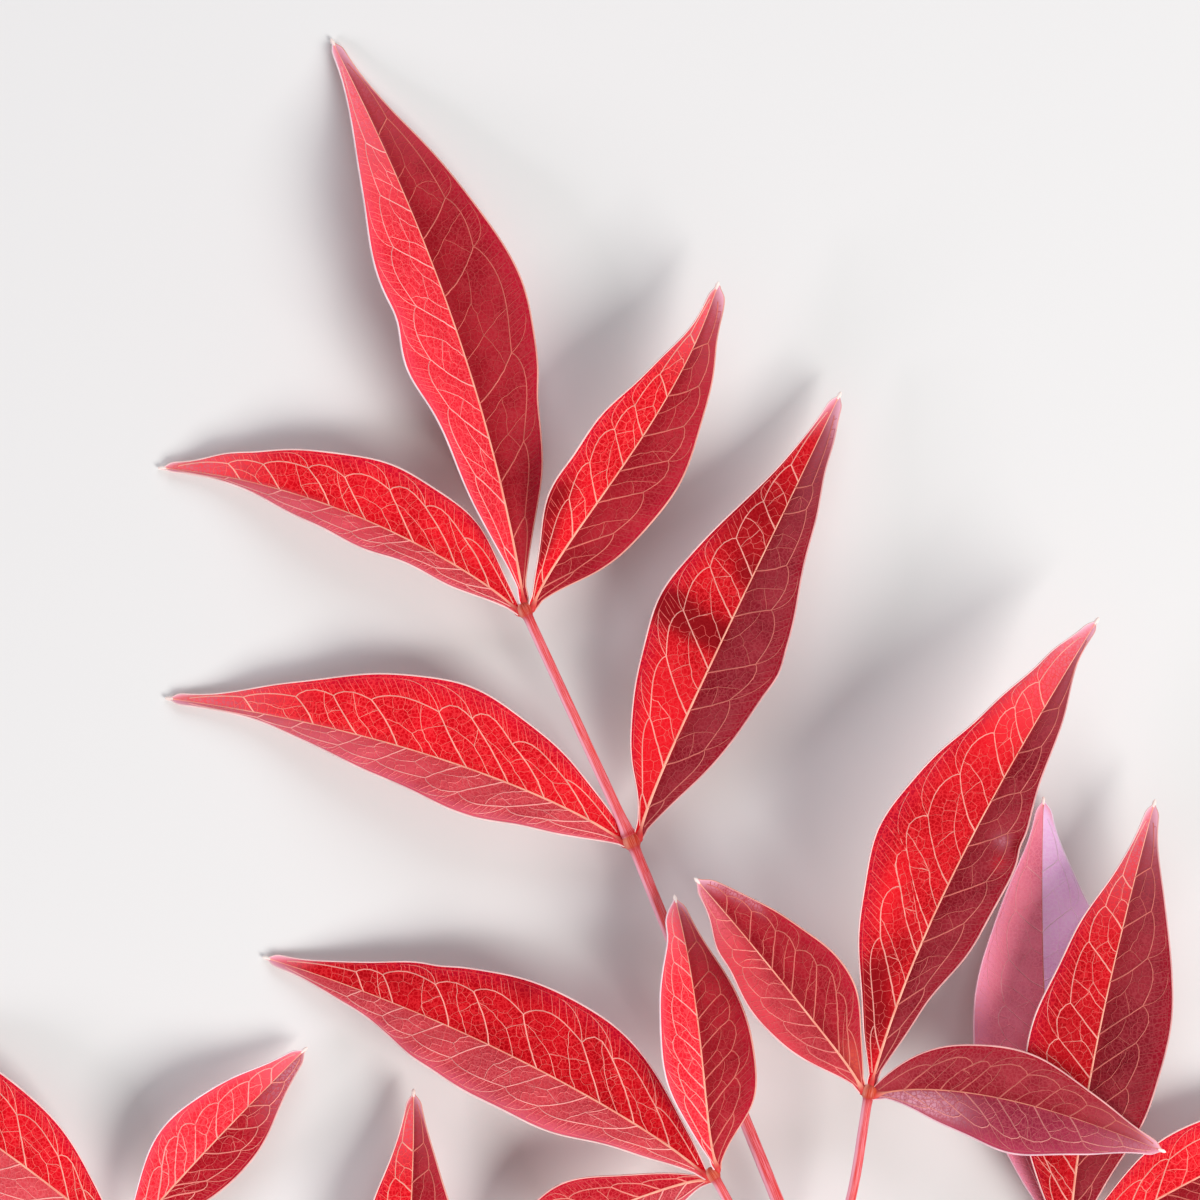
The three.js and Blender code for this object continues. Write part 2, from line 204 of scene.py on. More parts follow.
SWELLS = {  # where the left and the right margin swell or are nicked: mm along, mm long, mm out
    "top_end": (
        [(12, 6, 1.0), (31, 4, 0.6), (38, 3, -0.6), (59, 5, -0.4)],
        [(16, 4, 0.5), (24, 3, -0.4), (36, 6, 0.6), (58, 8, -0.5)],
    ),
    "top_left": ([(16, 5, -1.0), (37, 9, -0.8)], [(11, 6, 1.6), (40, 3, 0.6)]),
    "top_right": ([(14, 5, 1.2), (37, 6, -0.6)], [(10, 6, 0.9), (29, 5, -0.3), (43, 3, 0.5)]),
    "upper_left": ([(13, 4, -0.6), (33, 7, -0.8), (46, 6, -1.2)], [(15, 13, 1.5)]),
    "upper_right": (
        [(5, 3, -0.6), (17, 5, 0.4), (28, 5, 0.8), (45, 6, -0.9)],
        [(25.5, 2.5, 0.4), (39, 6, -0.7), (54, 3, 0.5)],
    ),
    "crown_left_end": (
        [(39, 2.5, 0.4), (46, 4, -0.6)],
        [(18, 6, 0.9), (32, 5, 0.4), (40, 2, -0.3)],
    ),
    "crown_left_right": ([(19, 5, -0.7), (31, 1.5, 0.6)], [(8, 4, 0.8)]),
    "crown_right_end": (
        [(28, 6, 0.9), (44, 4, -0.5), (57, 3, 0.9)],
        [(12, 6, -0.6), (34.3, 1.3, -0.3), (42, 5, -0.8), (57, 5, -0.5)],
    ),
    "crown_right_left": (
        [(9, 4, 0.4), (25, 2.5, 0.8)],
        [(10, 4, 0.8), (20, 4, -0.6), (30, 3, 0.4)],
    ),
    "crown_right_right": ([(6, 6, 1.1)], []),
    "right_outer_left": ([], [(20, 5, 1.4), (40, 3, 0.8)]),
}


def dice(leaflet, side, number):
    """Seeded chance for one job on a half blade, the same in every run."""
    return np.random.default_rng([SEEDS[leaflet.name], side, number])


def wave(leaflet, side, number, along):
    """A slow sine wave along a half blade, from -1 to 1."""
    rng = dice(leaflet, side, number)
    period = rng.uniform(*WAVE_LENGTHS)
    return np.sin(2 * np.pi * along / period + rng.uniform(0, 2 * np.pi))


def half_width(leaflet, side, share):
    """Half width in mm at shares of the way from joint to tip."""
    share = np.clip(share, 1e-4, 1 - 1e-4)
    x = share ** leaflet.fullness[side]
    curve = (x / WIDEST) ** OUTLINE_BASE * ((1 - x) / (1 - WIDEST)) ** OUTLINE_TIP
    full = np.maximum(leaflet.widths[side] * curve, 0.001)
    along = share * leaflet.length
    wedge = leaflet.flare[side] * along
    width = (full**-FLARE_BLEND + wedge**-FLARE_BLEND) ** (-1 / FLARE_BLEND)
    sway = MARGIN_SWAY * np.minimum(width / SWAY_FROM, 1) ** 2
    width = width + sway * wave(leaflet, side, 0, along)
    to_tip = leaflet.length - along
    blunt = 1 - bump(np.maximum(to_tip, BLADE_END), BLADE_END, SHOULDER_LENGTH[0])
    width = width + TIP_SHOULDER * blunt * bump(to_tip, 0, SHOULDER_LENGTH[1])
    for middle, size, out in SWELLS.get(leaflet.name, ([], []))[side]:
        width = width + out * bump(along, middle, size)
    least = TIP_HALF_WIDTH + (BASE_HALF_WIDTH - TIP_HALF_WIDTH) * np.exp(-along / BASE_FADE)
    shoulder = np.sqrt(np.clip(along / BASE_SHOULDER, 0.04, 1))
    return np.maximum(width, least * shoulder)


# %% Midrib line
FOOT_SHIFT = 0.8  # a side leaflet sits this far out on its joint's flank
FOOT_FADE = 14  # the higher, the nearer to the joint the shift has gone
SIDE_TURN = 15  # degrees from its joint's heading from which a leaflet counts as a side one
BLADE_THICKNESS = 0.3  # mm


def flank(leaflet):
    """1 for a leaflet on its joint's left flank, -1 on the right one, 0 straight on."""
    turn = leaflet.heading - joints[leaflet.joint].heading
    return np.sign(turn) if abs(turn) > SIDE_TURN else 0


def midrib_point(leaflet, share):
    """Points on the midrib at shares of the way from joint to tip."""
    joint = joints[leaflet.joint]
    share = np.asarray(share, float)[..., None]
    arc = 4 * share * (1 - share)
    sideways = flank(leaflet) * FOOT_SHIFT * np.clip(1 - share, 0, 1) ** FOOT_FADE
    sideways = sideways + leaflet.bow * arc * (1 + leaflet.skew * (2 * share - 1))
    foot = joint.point[2] + leaflet.lift
    tip = leaflet.tip + BLADE_THICKNESS
    height = foot + (tip - foot) * share + leaflet.rise * arc
    flat = joint.point * [1, 1, 0] + share * leaflet.length * pointing(leaflet.heading)
    return flat + sideways * pointing(leaflet.heading + 90) + height * UP


def midrib(leaflet, share):
    """Midrib points, and the level direction to the left of each."""
    step = 0.001
    ahead = midrib_point(leaflet, share + step) - midrib_point(leaflet, share - step)
    return midrib_point(leaflet, share), unit(np.cross(UP, ahead))


def fold_axes(leaflet, side, share):
    """Midrib points of a half blade, and the directions out along it and up from its face."""
    centre, left = midrib(leaflet, share)
    outward = left if side == 0 else -left
    fold = np.radians(leaflet.folds[side])
    out = outward * np.cos(fold) + UP * np.sin(fold)
    return centre, out, UP * np.cos(fold) - outward * np.sin(fold)


print("mm across the end leaflet:", half_width(LEAFLETS[0], 0, np.array([0.25, 0.5, 0.75])).round(1))

# %% [markdown]
# ## Side veins first
#
# The main side veins leave the midrib every 6 to 9 mm, at 40 to 60 degrees. They are planned
# before the surface, because the blade puffs up slightly between them, as a quilt does. Each
# one ends in a fork on a chain of arches that runs inside the margin.

# %% Plan of the side veins
VEIN_SPACING = (1.2, 0.09)  # mm, and a share of the leaflet's length
VEIN_SPAN = (0.05, 0.83)  # share of the way where they start, and share that they take up
VEIN_ANGLES = (44, 56)  # degrees from the midrib
VEINED = 0.86  # share of the length that the spacing is counted on
SPARSE = {("top_end", 1): 1.25, ("crown_right_end", 0): 0.9}  # halves with fewer or more veins
ARCH_REACH = 0.6  # the forks' share of the way from midrib to margin
Plan = namedtuple("Plan", "starts slope forks")


def plan_side_veins(leaflet, side):
    """Where the side veins start, how far they lean to the tip, and where they fork."""
    rng = dice(leaflet, side, 1)
    spacing = VEIN_SPACING[0] + VEIN_SPACING[1] * leaflet.length
    spacing *= SPARSE.get((leaflet.name, side), 1.0)
    count = round(leaflet.length * VEINED / spacing)
    even = (np.arange(count) + 0.35 + rng.uniform(-0.24, 0.24, count)) / count
    starts = leaflet.length * (VEIN_SPAN[0] + VEIN_SPAN[1] * even**1.04)
    slope = 1 / np.tan(np.radians(rng.uniform(*VEIN_ANGLES)))
    steep = slope * (1.6 - 0.6 * np.minimum(even * 2.5, 1))
    reach = ARCH_REACH + rng.uniform(-0.05, 0.05, count)
    ends = starts.copy()
    for _ in range(6):
        out = reach * half_width(leaflet, side, ends / leaflet.length)
        ends = starts + steep * out
    return Plan(starts, slope, np.stack([ends, out], axis=-1))


HALVES = [(leaflet, side) for leaflet in LEAFLETS for side in (0, 1)]
PLANS = {(leaflet.name, side): plan_side_veins(leaflet, side) for leaflet, side in HALVES}
print("side veins:", sum(len(plan.starts) for plan in PLANS.values()))

# %% [markdown]
# ## The surface
#
# One function gives the point on a blade for any distance along the midrib and out from it.
# Both the blade and its veins are built from it, so they can't drift apart. On top of the flat
# fold it adds a wave that grows towards the margin, and the puffs between the side veins.

# %% Surface of a half blade
EDGE_WAVE = 0.2  # mm up and down at the margin
PUFF = 0.22  # mm that the blade stands up between two side veins
CAMBER = 0.035  # how far a margin bends down, as a share of the half width
CALM_END = 9.0  # mm at both ends where the relief fades out
FULL_RELIEF = 6  # mm of half width from which the relief is whole


def relief(leaflet, side, along, across, width):
    """Height of the blade's skin over the flat fold."""
    part = np.clip(across / width, 0, 1)
    plan = PLANS[leaflet.name, side]
    edge = EDGE_WAVE * part**2 * wave(leaflet, side, 2, along)
    number = np.interp(along - across * plan.slope, plan.starts, np.arange(len(plan.starts)))
    puff = PUFF * np.sin(np.pi * number) ** 2 * 4 * part * (1 - part)
    calm = np.clip(along / CALM_END, 0, 1) * np.clip((leaflet.length - along) / CALM_END, 0, 1)
    return calm * np.minimum(width / FULL_RELIEF, 1) * (edge + puff) - CAMBER * width * part**2


def surface(leaflet, side, along, across, lift=0.0):
    """Points on a half blade, from mm along the midrib and mm out from it."""
    share = along / leaflet.length
    centre, out, over = fold_axes(leaflet, side, share)
    height = relief(leaflet, side, along, across, half_width(leaflet, side, share)) + lift
    return centre + across[..., None] * out + height[..., None] * over


# %% [markdown]
# ## Gathering one piece
#
# A leaflet is one object with several finishes: two half blades, the underside, the rims and
# the rib. A small class gathers grids of points for it. Each grid also gets its own place on
# the piece's flat map, in a box, so that a finish baked to a picture later has room.

# %% Shape gatherer
class Shape:
    """Points, faces, finishes, map places and marks of one piece."""

    def __init__(self):
        self.points = []
        self.faces = []
        self.finish = []
        self.places = []
        self.marks = {"along": [], "across": [], "tone": [], "painted_sheen": []}
        self.count = 0

    def add_points(self, points, marks):
        """Adds points with their marks and gives the number of the first."""
        first = self.count
        self.points.append(points.reshape(-1, 3))
        self.count += points.size // 3
        for name, values in self.marks.items():
            values.append(np.broadcast_to(marks.get(name, 0.0), points.shape[:-1]).ravel())
        return first

    def add_tube(self, points, finish, across_map, along_map, **marks):
        """Closes a grid of rings, (rows, columns, 3), into a solid skin with two end caps.

        finish is one number for each column, or one for all. across_map has a value for each
        column and one more, and along_map one for each row.
        """
        rows, columns, _ = points.shape
        number = self.add_points(points, marks) + np.arange(rows * columns).reshape(rows, columns)
        wrapped = np.concatenate([number, number[:, :1]], axis=1)
        corners = [wrapped[:-1, :-1], wrapped[:-1, 1:], wrapped[1:, 1:], wrapped[1:, :-1]]
        along = np.broadcast_to(np.asarray(along_map)[:, None], (rows, columns + 1))
        across = np.broadcast_to(across_map, (rows, columns + 1))
        flat = np.stack([along, across], axis=-1)
        spots = [flat[:-1, :-1], flat[:-1, 1:], flat[1:, 1:], flat[1:, :-1]]
        caps = [number[0][::-1], number[-1]]
        cap_spots = [flat[0, :-1][::-1], flat[-1, :-1]]
        if not faces_out(points):
            corners, spots = corners[::-1], spots[::-1]
            caps = [cap[::-1] for cap in caps]
            cap_spots = [spot[::-1] for spot in cap_spots]
        self.faces += np.stack(corners, axis=-1).reshape(-1, 4).tolist()
        self.places.append(np.stack(spots, axis=2).reshape(-1, 2))
        self.finish.append(np.broadcast_to(finish, (rows - 1, columns)).ravel())
        for cap, spot, row in zip(caps, cap_spots, (0, -1)):
            self.faces.append(cap.tolist())
            self.places.append(spot)
            self.finish.append(np.broadcast_to(finish, (rows - 1, columns))[row, :1])


def faces_out(points):
    """Whether rings taken in their own order already face outward."""
    middle = points.mean(axis=1, keepdims=True)
    spokes = points - middle
    turned = np.cross(spokes, np.roll(spokes, -1, axis=1)).sum(axis=1)
    ahead = np.gradient(middle[:, 0], axis=0)
    return (turned * ahead).sum() > 0


# %% Make the object
SHARP_ANGLE = 60  # degrees between faces from which an edge stays sharp


def new_object(name, data):
    """An object in the scene."""
    thing = bpy.data.objects.new(name, data)
    bpy.context.scene.collection.objects.link(thing)
    return thing


def make_piece(name, shape, finishes, node=None):
    """One named object on the plant's body, with its mesh, map, marks and finishes."""
    mesh = bpy.data.meshes.new(name)
    points = np.concatenate(shape.points) + SHIFT
    points[:, 2] = np.maximum(points[:, 2], 0.0)
    mesh.from_pydata((points * MM).tolist(), [], shape.faces)
    for finish in finishes:
        mesh.materials.append(finish)
    mesh.polygons.foreach_set("material_index", np.concatenate(shape.finish).astype(np.int32))
    flat_map = mesh.uv_layers.new(name="OFBake")
    flat_map.data.foreach_set("uv", np.concatenate(shape.places).ravel())
    for mark, values in shape.marks.items():
        layer = mesh.attributes.new(mark, "FLOAT", "POINT")
        layer.data.foreach_set("value", np.concatenate(values))
    mesh.polygons.foreach_set("use_smooth", np.ones(len(shape.faces), bool))
    mesh.set_sharp_from_angle(angle=np.radians(SHARP_ANGLE))
    piece = new_object(name, mesh)
    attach(piece, "root")
    if node:
        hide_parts(node)
    return piece


def build_all(label, build, things):
    """One piece for each thing."""
    pieces = [build(thing) for thing in things]
    print(label, len(pieces), "faces:", sum(len(piece.data.polygons) for piece in pieces))


# %% [markdown]
# ## Shared skin patterns
# Held up close, the skin of a leaflet is a net of tiny cells, each about 0.5 mm across, and
# the red is deeper in some patches than in others. Every finish needs that, so it is a node
# group: Voronoi cells give the net, slow noise gives the patches, and both give a little
# height for the bump. It works on the object's own coordinates, so it is the same from every
# side. A second group turns the marks that a shape carries on its points into masks for the
# painted light, shade and sheen of a half blade: at its margin and its tip, in its spots of
# painted light and painted shadow, and the painted shade in its crease.

# %% Node helpers
def add_node(tree, kind, inputs=(), **settings):
    """A node with its settings, whose named or numbered inputs are values or sockets."""
    node = tree.nodes.new(kind)
    for key, value in settings.items():
        setattr(node, key, value)
    for key, value in dict(inputs).items():
        if isinstance(value, bpy.types.NodeSocket):
            tree.links.new(value, node.inputs[key])
        else:
            node.inputs[key].default_value = value
    return node


def calculate(tree, operation, *values, kind="ShaderNodeMath"):
    """Socket of a calculation with values or sockets."""
    return add_node(tree, kind, dict(enumerate(values)), operation=operation).outputs[0]


def remap(tree, value, low, high, to_low=0.0, to_high=1.0):
    """Socket of a value moved smoothly from one range to another."""
    inputs = {"Value": value, "From Min": low, "From Max": high, "To Min": to_low, "To Max": to_high}
    node = add_node(tree, "ShaderNodeMapRange", inputs, interpolation_type="SMOOTHSTEP")
    return node.outputs["Result"]


def mark(tree, name):
    """Socket of one of the marks that a shape carries on its points."""
    return add_node(tree, "ShaderNodeAttribute", attribute_name=name).outputs["Fac"]


def layered(tree, colour, layers):
    """Socket of a colour with layers laid over it in turn, each one a mask and a colour."""
    colour = (*colour, 1.0)
    for mask, layer in layers:
        inputs = {0: mask, 6: colour, 7: (*layer, 1.0)}
        colour = add_node(tree, "ShaderNodeMix", inputs, data_type="RGBA").outputs[2]
    return colour


def set_values(node, values):
    """Sets named inputs, where _ stands for a space."""
    for label, value in values.items():
        node.inputs[label.replace("_", " ")].default_value = value


# %% Skin group
NUDGE = 0.45  # mm that the cells' borders are shaken


def new_group(name, inputs):
    """An empty shader group with its named number inputs, and its input sockets."""
    group = bpy.data.node_groups.new(name, "ShaderNodeTree")
    for label, value in inputs.items():
        socket = group.interface.new_socket(label, in_out="INPUT", socket_type="NodeSocketFloat")
        socket.default_value = value
    return group, group.nodes.new("NodeGroupInput").outputs


def close_group(group, masks):
    """Gives a group its named outputs."""
    for label in masks:
        group.interface.new_socket(label, in_out="OUTPUT", socket_type="NodeSocketFloat")
    ends = group.nodes.new("NodeGroupOutput")
    for label, socket in masks.items():
        group.links.new(socket, ends.inputs[label])
    return group


def place_group(tree, group, **values):
    """A group placed in a material with its own values."""
    node = tree.nodes.new("ShaderNodeGroup")
    node.node_tree = group
    set_values(node, values)
    return node.outputs


def build_skin_group():
    """Net, Patch and Height of living skin, from a cell size and a patch size in mm."""
    group, sizes = new_group("leaf_skin", {"Cell Size": 0.5, "Patch Size": 6.0})
    place = add_node(group, "ShaderNodeTexCoord").outputs["Object"]
    cell_scale = calculate(group, "DIVIDE", 1 / MM, sizes["Cell Size"])
    patch_scale = calculate(group, "DIVIDE", 1 / MM, sizes["Patch Size"])
    shake = add_node(group, "ShaderNodeTexNoise", {"Vector": place, "Scale": cell_scale, "Detail": 1.0})
    vector = "ShaderNodeVectorMath"
    nudge = calculate(group, "SUBTRACT", shake.outputs["Color"], (0.5, 0.5, 0.5), kind=vector)
    nudge = add_node(group, vector, {0: nudge, "Scale": NUDGE * MM}, operation="SCALE").outputs[0]
    bent = calculate(group, "ADD", place, nudge, kind=vector)
    cells = {"Vector": bent, "Scale": cell_scale, "Randomness": 0.85}
    cells = add_node(group, "ShaderNodeTexVoronoi", cells, feature="DISTANCE_TO_EDGE")
    net = remap(group, cells.outputs["Distance"], 0.02, 0.17, 1.0, 0.0)
    patch = {"Vector": place, "Scale": patch_scale, "Detail": 3.0, "Roughness": 0.6}
    patch = remap(group, add_node(group, "ShaderNodeTexNoise", patch).outputs["Fac"], 0.36, 0.66)
    height = calculate(group, "MULTIPLY_ADD", net, 0.5, shake.outputs["Fac"])
    return close_group(group, {"Net": net, "Patch": patch, "Height": height})


SKIN_GROUP = build_skin_group()


# %% Mark group
TIP_CREEP = 0.05  # share of the way that the tip colour starts earlier at the margin
PALE_LATER = 0.06  # share of the way from the tip colour to the palest tip
MASK_END = 1.03  # share of the way, past the tip, where both would be whole


def build_mark_group():
    """Masks of a half blade for its tip colour and its painted light, shade and sheen, from where its tip
    colour starts and how strong the painted shade in its crease is.
    """
    group, values = new_group("leaf_marks", {"Tip Start": 0.9, "Crease Depth": 0.2})
    across = mark(group, "across")
    tone = mark(group, "tone")
    square = calculate(group, "MULTIPLY", across, across)
    creep = calculate(group, "MULTIPLY_ADD", square, TIP_CREEP, mark(group, "along"))
    pale_start = calculate(group, "ADD", values["Tip Start"], PALE_LATER)
    masks = {
        # Margin: painted change of light and sheen towards the curled-down margin.
        "Margin": remap(group, across, 0.7, 1.0, to_high=0.85),
        # Bright and Deep: painted light and painted shadow, from the tone mark.
        "Bright": remap(group, tone, 0.0, -1.0),
        "Deep": remap(group, tone, 0.0, 1.0, to_high=0.86),
        # Crease: painted shade beside the rib, where the fold shades the half.
        "Crease": remap(group, across, 0.02, 0.4, values["Crease Depth"], 0.0),
        # Tip and Pale Tip: the tip colour, and painted pink sheen at the palest tip.
        "Tip": remap(group, creep, values["Tip Start"], MASK_END, to_high=0.85),
        "Pale Tip": remap(group, creep, pale_start, MASK_END, to_high=0.85),
    }
    return close_group(group, masks)


MARK_GROUP = build_mark_group()


def new_finish(name, **values):
    """A material with a Principled shader, and its tree and shader."""
    material = bpy.data.materials.new(name)
    material.use_nodes = True
    shader = material.node_tree.nodes["Principled BSDF"]
    set_values(shader, values)
    return material, material.node_tree, shader


def link_skin(tree, shader, colour, roughness, height, strength, depth_mm):
    """Gives the shader its colour, its roughness and a height as bump."""
    inputs = {"Height": height, "Strength": strength, "Distance": depth_mm * MM}
    normal = add_node(tree, "ShaderNodeBump", inputs).outputs["Normal"]
    for label, socket in {"Base Color": colour, "Roughness": roughness, "Normal": normal}.items():
        tree.links.new(socket, shader.inputs[label])


# %% [markdown]
# ## Autumn tints
#
# The two halves of a leaflet share one red, and the tints paint the light and shade on them.
# A half folded up towards the light is painted a bright lit red such as scarlet, as if light
# shone through it. A half turned away is painted in shade, maroon, wine or plum, with a mauve
# sheen, and a steep half is painted with a dusky pink sheen. One leaflet lit from behind is
# painted rose and lilac for its glow. Each tint is a small family of plain colours: the blade,
# its deeper patches, its margin, its fine net and its raised veins. A tint is one finish, so a
# colour that has a place on the plant is dealt out half by half.

# %% Tints
# Tints are lit and shaded copies of one red: a bright tint paints light shining through a half, a dark
# one paints its shade and mauve sheen.
Tint = namedtuple("Tint", "blade patch margin tip net vein rim fine sheen crease tip_start")
# PINK and MAUVE paint the pink and mauve sheen at a tip.
PINK = (0.82, 0.24, 0.30)
TAN = (0.64, 0.16, 0.14)
MAUVE = (0.54, 0.15, 0.19)
TINTS = {  # fine: how much of the large veins' colour the small ones have; crease: painted shade by the rib
    "scarlet": Tint((0.74, 0.004, 0.013), (0.58, 0.002, 0.008), (0.60, 0.005, 0.030), TAN,
                    (0.92, 0.044, 0.054), (1.0, 0.50, 0.40), (1.0, 0.72, 0.68), 0.42, 0.0, 0.0, 0.9),
    "coral": Tint((0.90, 0.026, 0.045), (0.78, 0.016, 0.032), (0.95, 0.060, 0.110), PINK,
                  (1.0, 0.090, 0.110), (1.0, 0.48, 0.44), (1.0, 0.80, 0.84), 0.38, 0.02, 0.0, 0.9),
    "cherry": Tint((0.56, 0.002, 0.008), (0.42, 0.001, 0.005), (0.46, 0.003, 0.024), PINK,
                   (0.78, 0.030, 0.038), (1.0, 0.48, 0.40), (1.0, 0.68, 0.66), 0.42, 0.0, 0.0, 0.89),
    "garnet": Tint((0.62, 0.052, 0.068), (0.48, 0.034, 0.048), (0.72, 0.055, 0.080), PINK,
                   (0.66, 0.085, 0.100), (0.90, 0.27, 0.24), (0.96, 0.58, 0.58), 0.3, 0.03, 0.3, 0.88),
    "crimson": Tint((0.54, 0.010, 0.024), (0.42, 0.006, 0.015), (0.55, 0.008, 0.032), TAN,
                    (0.66, 0.050, 0.062), (0.92, 0.34, 0.28), (0.92, 0.52, 0.48), 0.4, 0.02, 0.2, 0.9),
    "dusky": Tint((0.80, 0.076, 0.096), (0.66, 0.056, 0.076), (0.92, 0.150, 0.240), PINK,
                  (0.90, 0.150, 0.170), (1.0, 0.46, 0.42), (1.0, 0.70, 0.68), 0.4, 0.04, 0.1, 0.86),
    "maroon": Tint((0.48, 0.021, 0.035), (0.35, 0.009, 0.019), (0.52, 0.010, 0.034), MAUVE,
                   (0.50, 0.045, 0.056), (0.76, 0.20, 0.16), (0.92, 0.42, 0.34), 0.3, 0.04, 0.4, 0.86),
    "wine": Tint((0.34, 0.027, 0.040), (0.24, 0.010, 0.020), (0.33, 0.004, 0.018), MAUVE,
                 (0.40, 0.052, 0.064), (0.66, 0.18, 0.15), (0.86, 0.44, 0.42), 0.3, 0.05, 0.35, 0.84),
    "plum": Tint((0.40, 0.036, 0.075), (0.32, 0.024, 0.055), (0.50, 0.050, 0.110), PINK,
                 (0.48, 0.080, 0.110), (0.76, 0.28, 0.26), (0.88, 0.56, 0.62), 0.4, 0.05, 0.2, 0.88),
    "rose": Tint((0.92, 0.240, 0.340), (0.78, 0.180, 0.270), (0.95, 0.360, 0.540), PINK,
                 (0.95, 0.300, 0.400), (0.96, 0.40, 0.46), (1.0, 0.60, 0.72), 0.5, 0.03, 0.0, 0.9),
    "lilac": Tint((1.0, 0.660, 1.0), (0.94, 0.560, 0.920), (1.0, 0.720, 1.0), PINK,
                  (1.0, 0.720, 1.0), (0.98, 0.72, 0.92), (1.0, 0.80, 0.96), 0.5, 0.03, 0.0, 0.95),
}
# Painted pink sheen, for the tips and the sheen spots.
SHEEN_PINK = (1.0, 0.56, 0.70)
# Painted light, for the brighter spots.
LIT_RED = (0.82, 0.007, 0.016)
LIT_PLACES = {  # painted light and sheen: what the brighter spots of a tint turn to, where that isn't bright red
    "plum": (0.82, 0.40, 0.50),
    "dusky": (1.0, 0.12, 0.17),
    "garnet": (0.80, 0.062, 0.085),
    "maroon": (0.66, 0.09, 0.06),
}
# Painted shadow for the deeper spots, and painted shade in the crease by the rib.
SHADE_RED = (0.19, 0.001, 0.004)
FOOT_RED = (0.66, 0.045, 0.045)


def leaf_finish(name, tint):
    """Waxy skin of a half blade: net, patches, and painted light, shade and sheen at margin, spots,
    crease and tip.
    """
    material, tree, shader = new_finish(
        f"leaf_{name}",
        Roughness=0.6,
        Specular_IOR_Level=0.04,
        Sheen_Weight=tint.sheen,
        Sheen_Roughness=0.4,
        Sheen_Tint=(1.0, 0.72, 0.85, 1.0),
    )
    skin = place_group(tree, SKIN_GROUP, Cell_Size=0.5, Patch_Size=7.0)
    masks = place_group(tree, MARK_GROUP, Tip_Start=tint.tip_start, Crease_Depth=tint.crease)
    layers = (
        (skin["Patch"], tint.patch),
        # painted light
        (masks["Bright"], LIT_PLACES.get(name, LIT_RED)),
        # painted light and sheen at the margin
        (masks["Margin"], tint.margin),
        # painted pink sheen towards the tip
        (mark(tree, "painted_sheen"), SHEEN_PINK),
        (remap(tree, skin["Net"], 0, 1, to_high=0.62), tint.net),
        # painted shadow
        (masks["Deep"], SHADE_RED),
        # painted shade in the crease
        (masks["Crease"], SHADE_RED),
        # tip colour, a painted sheen on pink and mauve tips, then painted pink sheen at the palest tip
        (masks["Tip"], tint.tip),
        (masks["Pale Tip"], SHEEN_PINK),
    )
    rough = remap(tree, skin["Patch"], 0, 1, 0.56, 0.66)
    link_skin(tree, shader, layered(tree, tint.blade, layers), rough, skin["Height"], 0.35, 0.06)
    return material


def plain_finish(name, colour, worn, roughness, red_foot=False):
    """A waxy finish whose colour fades into a second one in patches, with a red foot if asked."""
    material, tree, shader = new_finish(name, Roughness=roughness, Specular_IOR_Level=0.15)
    skin = place_group(tree, SKIN_GROUP, Cell_Size=0.5, Patch_Size=3.0)
    layers = [(skin["Patch"], worn)]
    if red_foot:
        layers.append((remap(tree, mark(tree, "along"), 0.015, 0.055, 1.0, 0.0), FOOT_RED))
    rough = remap(tree, skin["Patch"], 0, 1, roughness - 0.06, roughness + 0.06)
    link_skin(tree, shader, layered(tree, colour, layers), rough, skin["Height"], 0.2, 0.03)
    return material


def shade(colour, factor):
    return tuple(min(1.0, channel * factor) for channel in colour)


def blend(first, second, share):
    return tuple((1 - share) * a + share * b for a, b in zip(first, second))


# Each tint gets its own leaf, vein, veinlet and rim finishes, lit or shaded like its half.
LEAF, VEIN, VEINLET, RIM_LIGHT = {}, {}, {}, {}
for name, tint in TINTS.items():
    LEAF[name] = leaf_finish(name, tint)
    VEIN[name] = plain_finish(f"vein_{name}", tint.vein, shade(tint.vein, 0.82), 0.5)
    small = blend(tint.net, tint.vein, tint.fine)
    VEINLET[name] = plain_finish(f"veinlet_{name}", small, blend(small, tint.net, 0.4), 0.5)
    # The rims' pale colour is painted rim light.
    RIM_LIGHT[name] = plain_finish(f"rim_{name}", tint.rim, shade(tint.rim, 0.85), 0.45)
UNDERSIDE = plain_finish("leaf_underside", (0.58, 0.11, 0.12), (0.50, 0.08, 0.10), 0.6)
RIB = plain_finish("midrib", (1.0, 0.50, 0.36), (0.95, 0.36, 0.26), 0.45, red_foot=True)
DULL_RIB = plain_finish("midrib_dull", (0.72, 0.27, 0.18), (0.62, 0.20, 0.15), 0.5, red_foot=True)
TIP = plain_finish("leaf_tip", (1.0, 0.90, 0.84), (0.95, 0.76, 0.70), 0.5)
print("finishes:", len(bpy.data.materials))
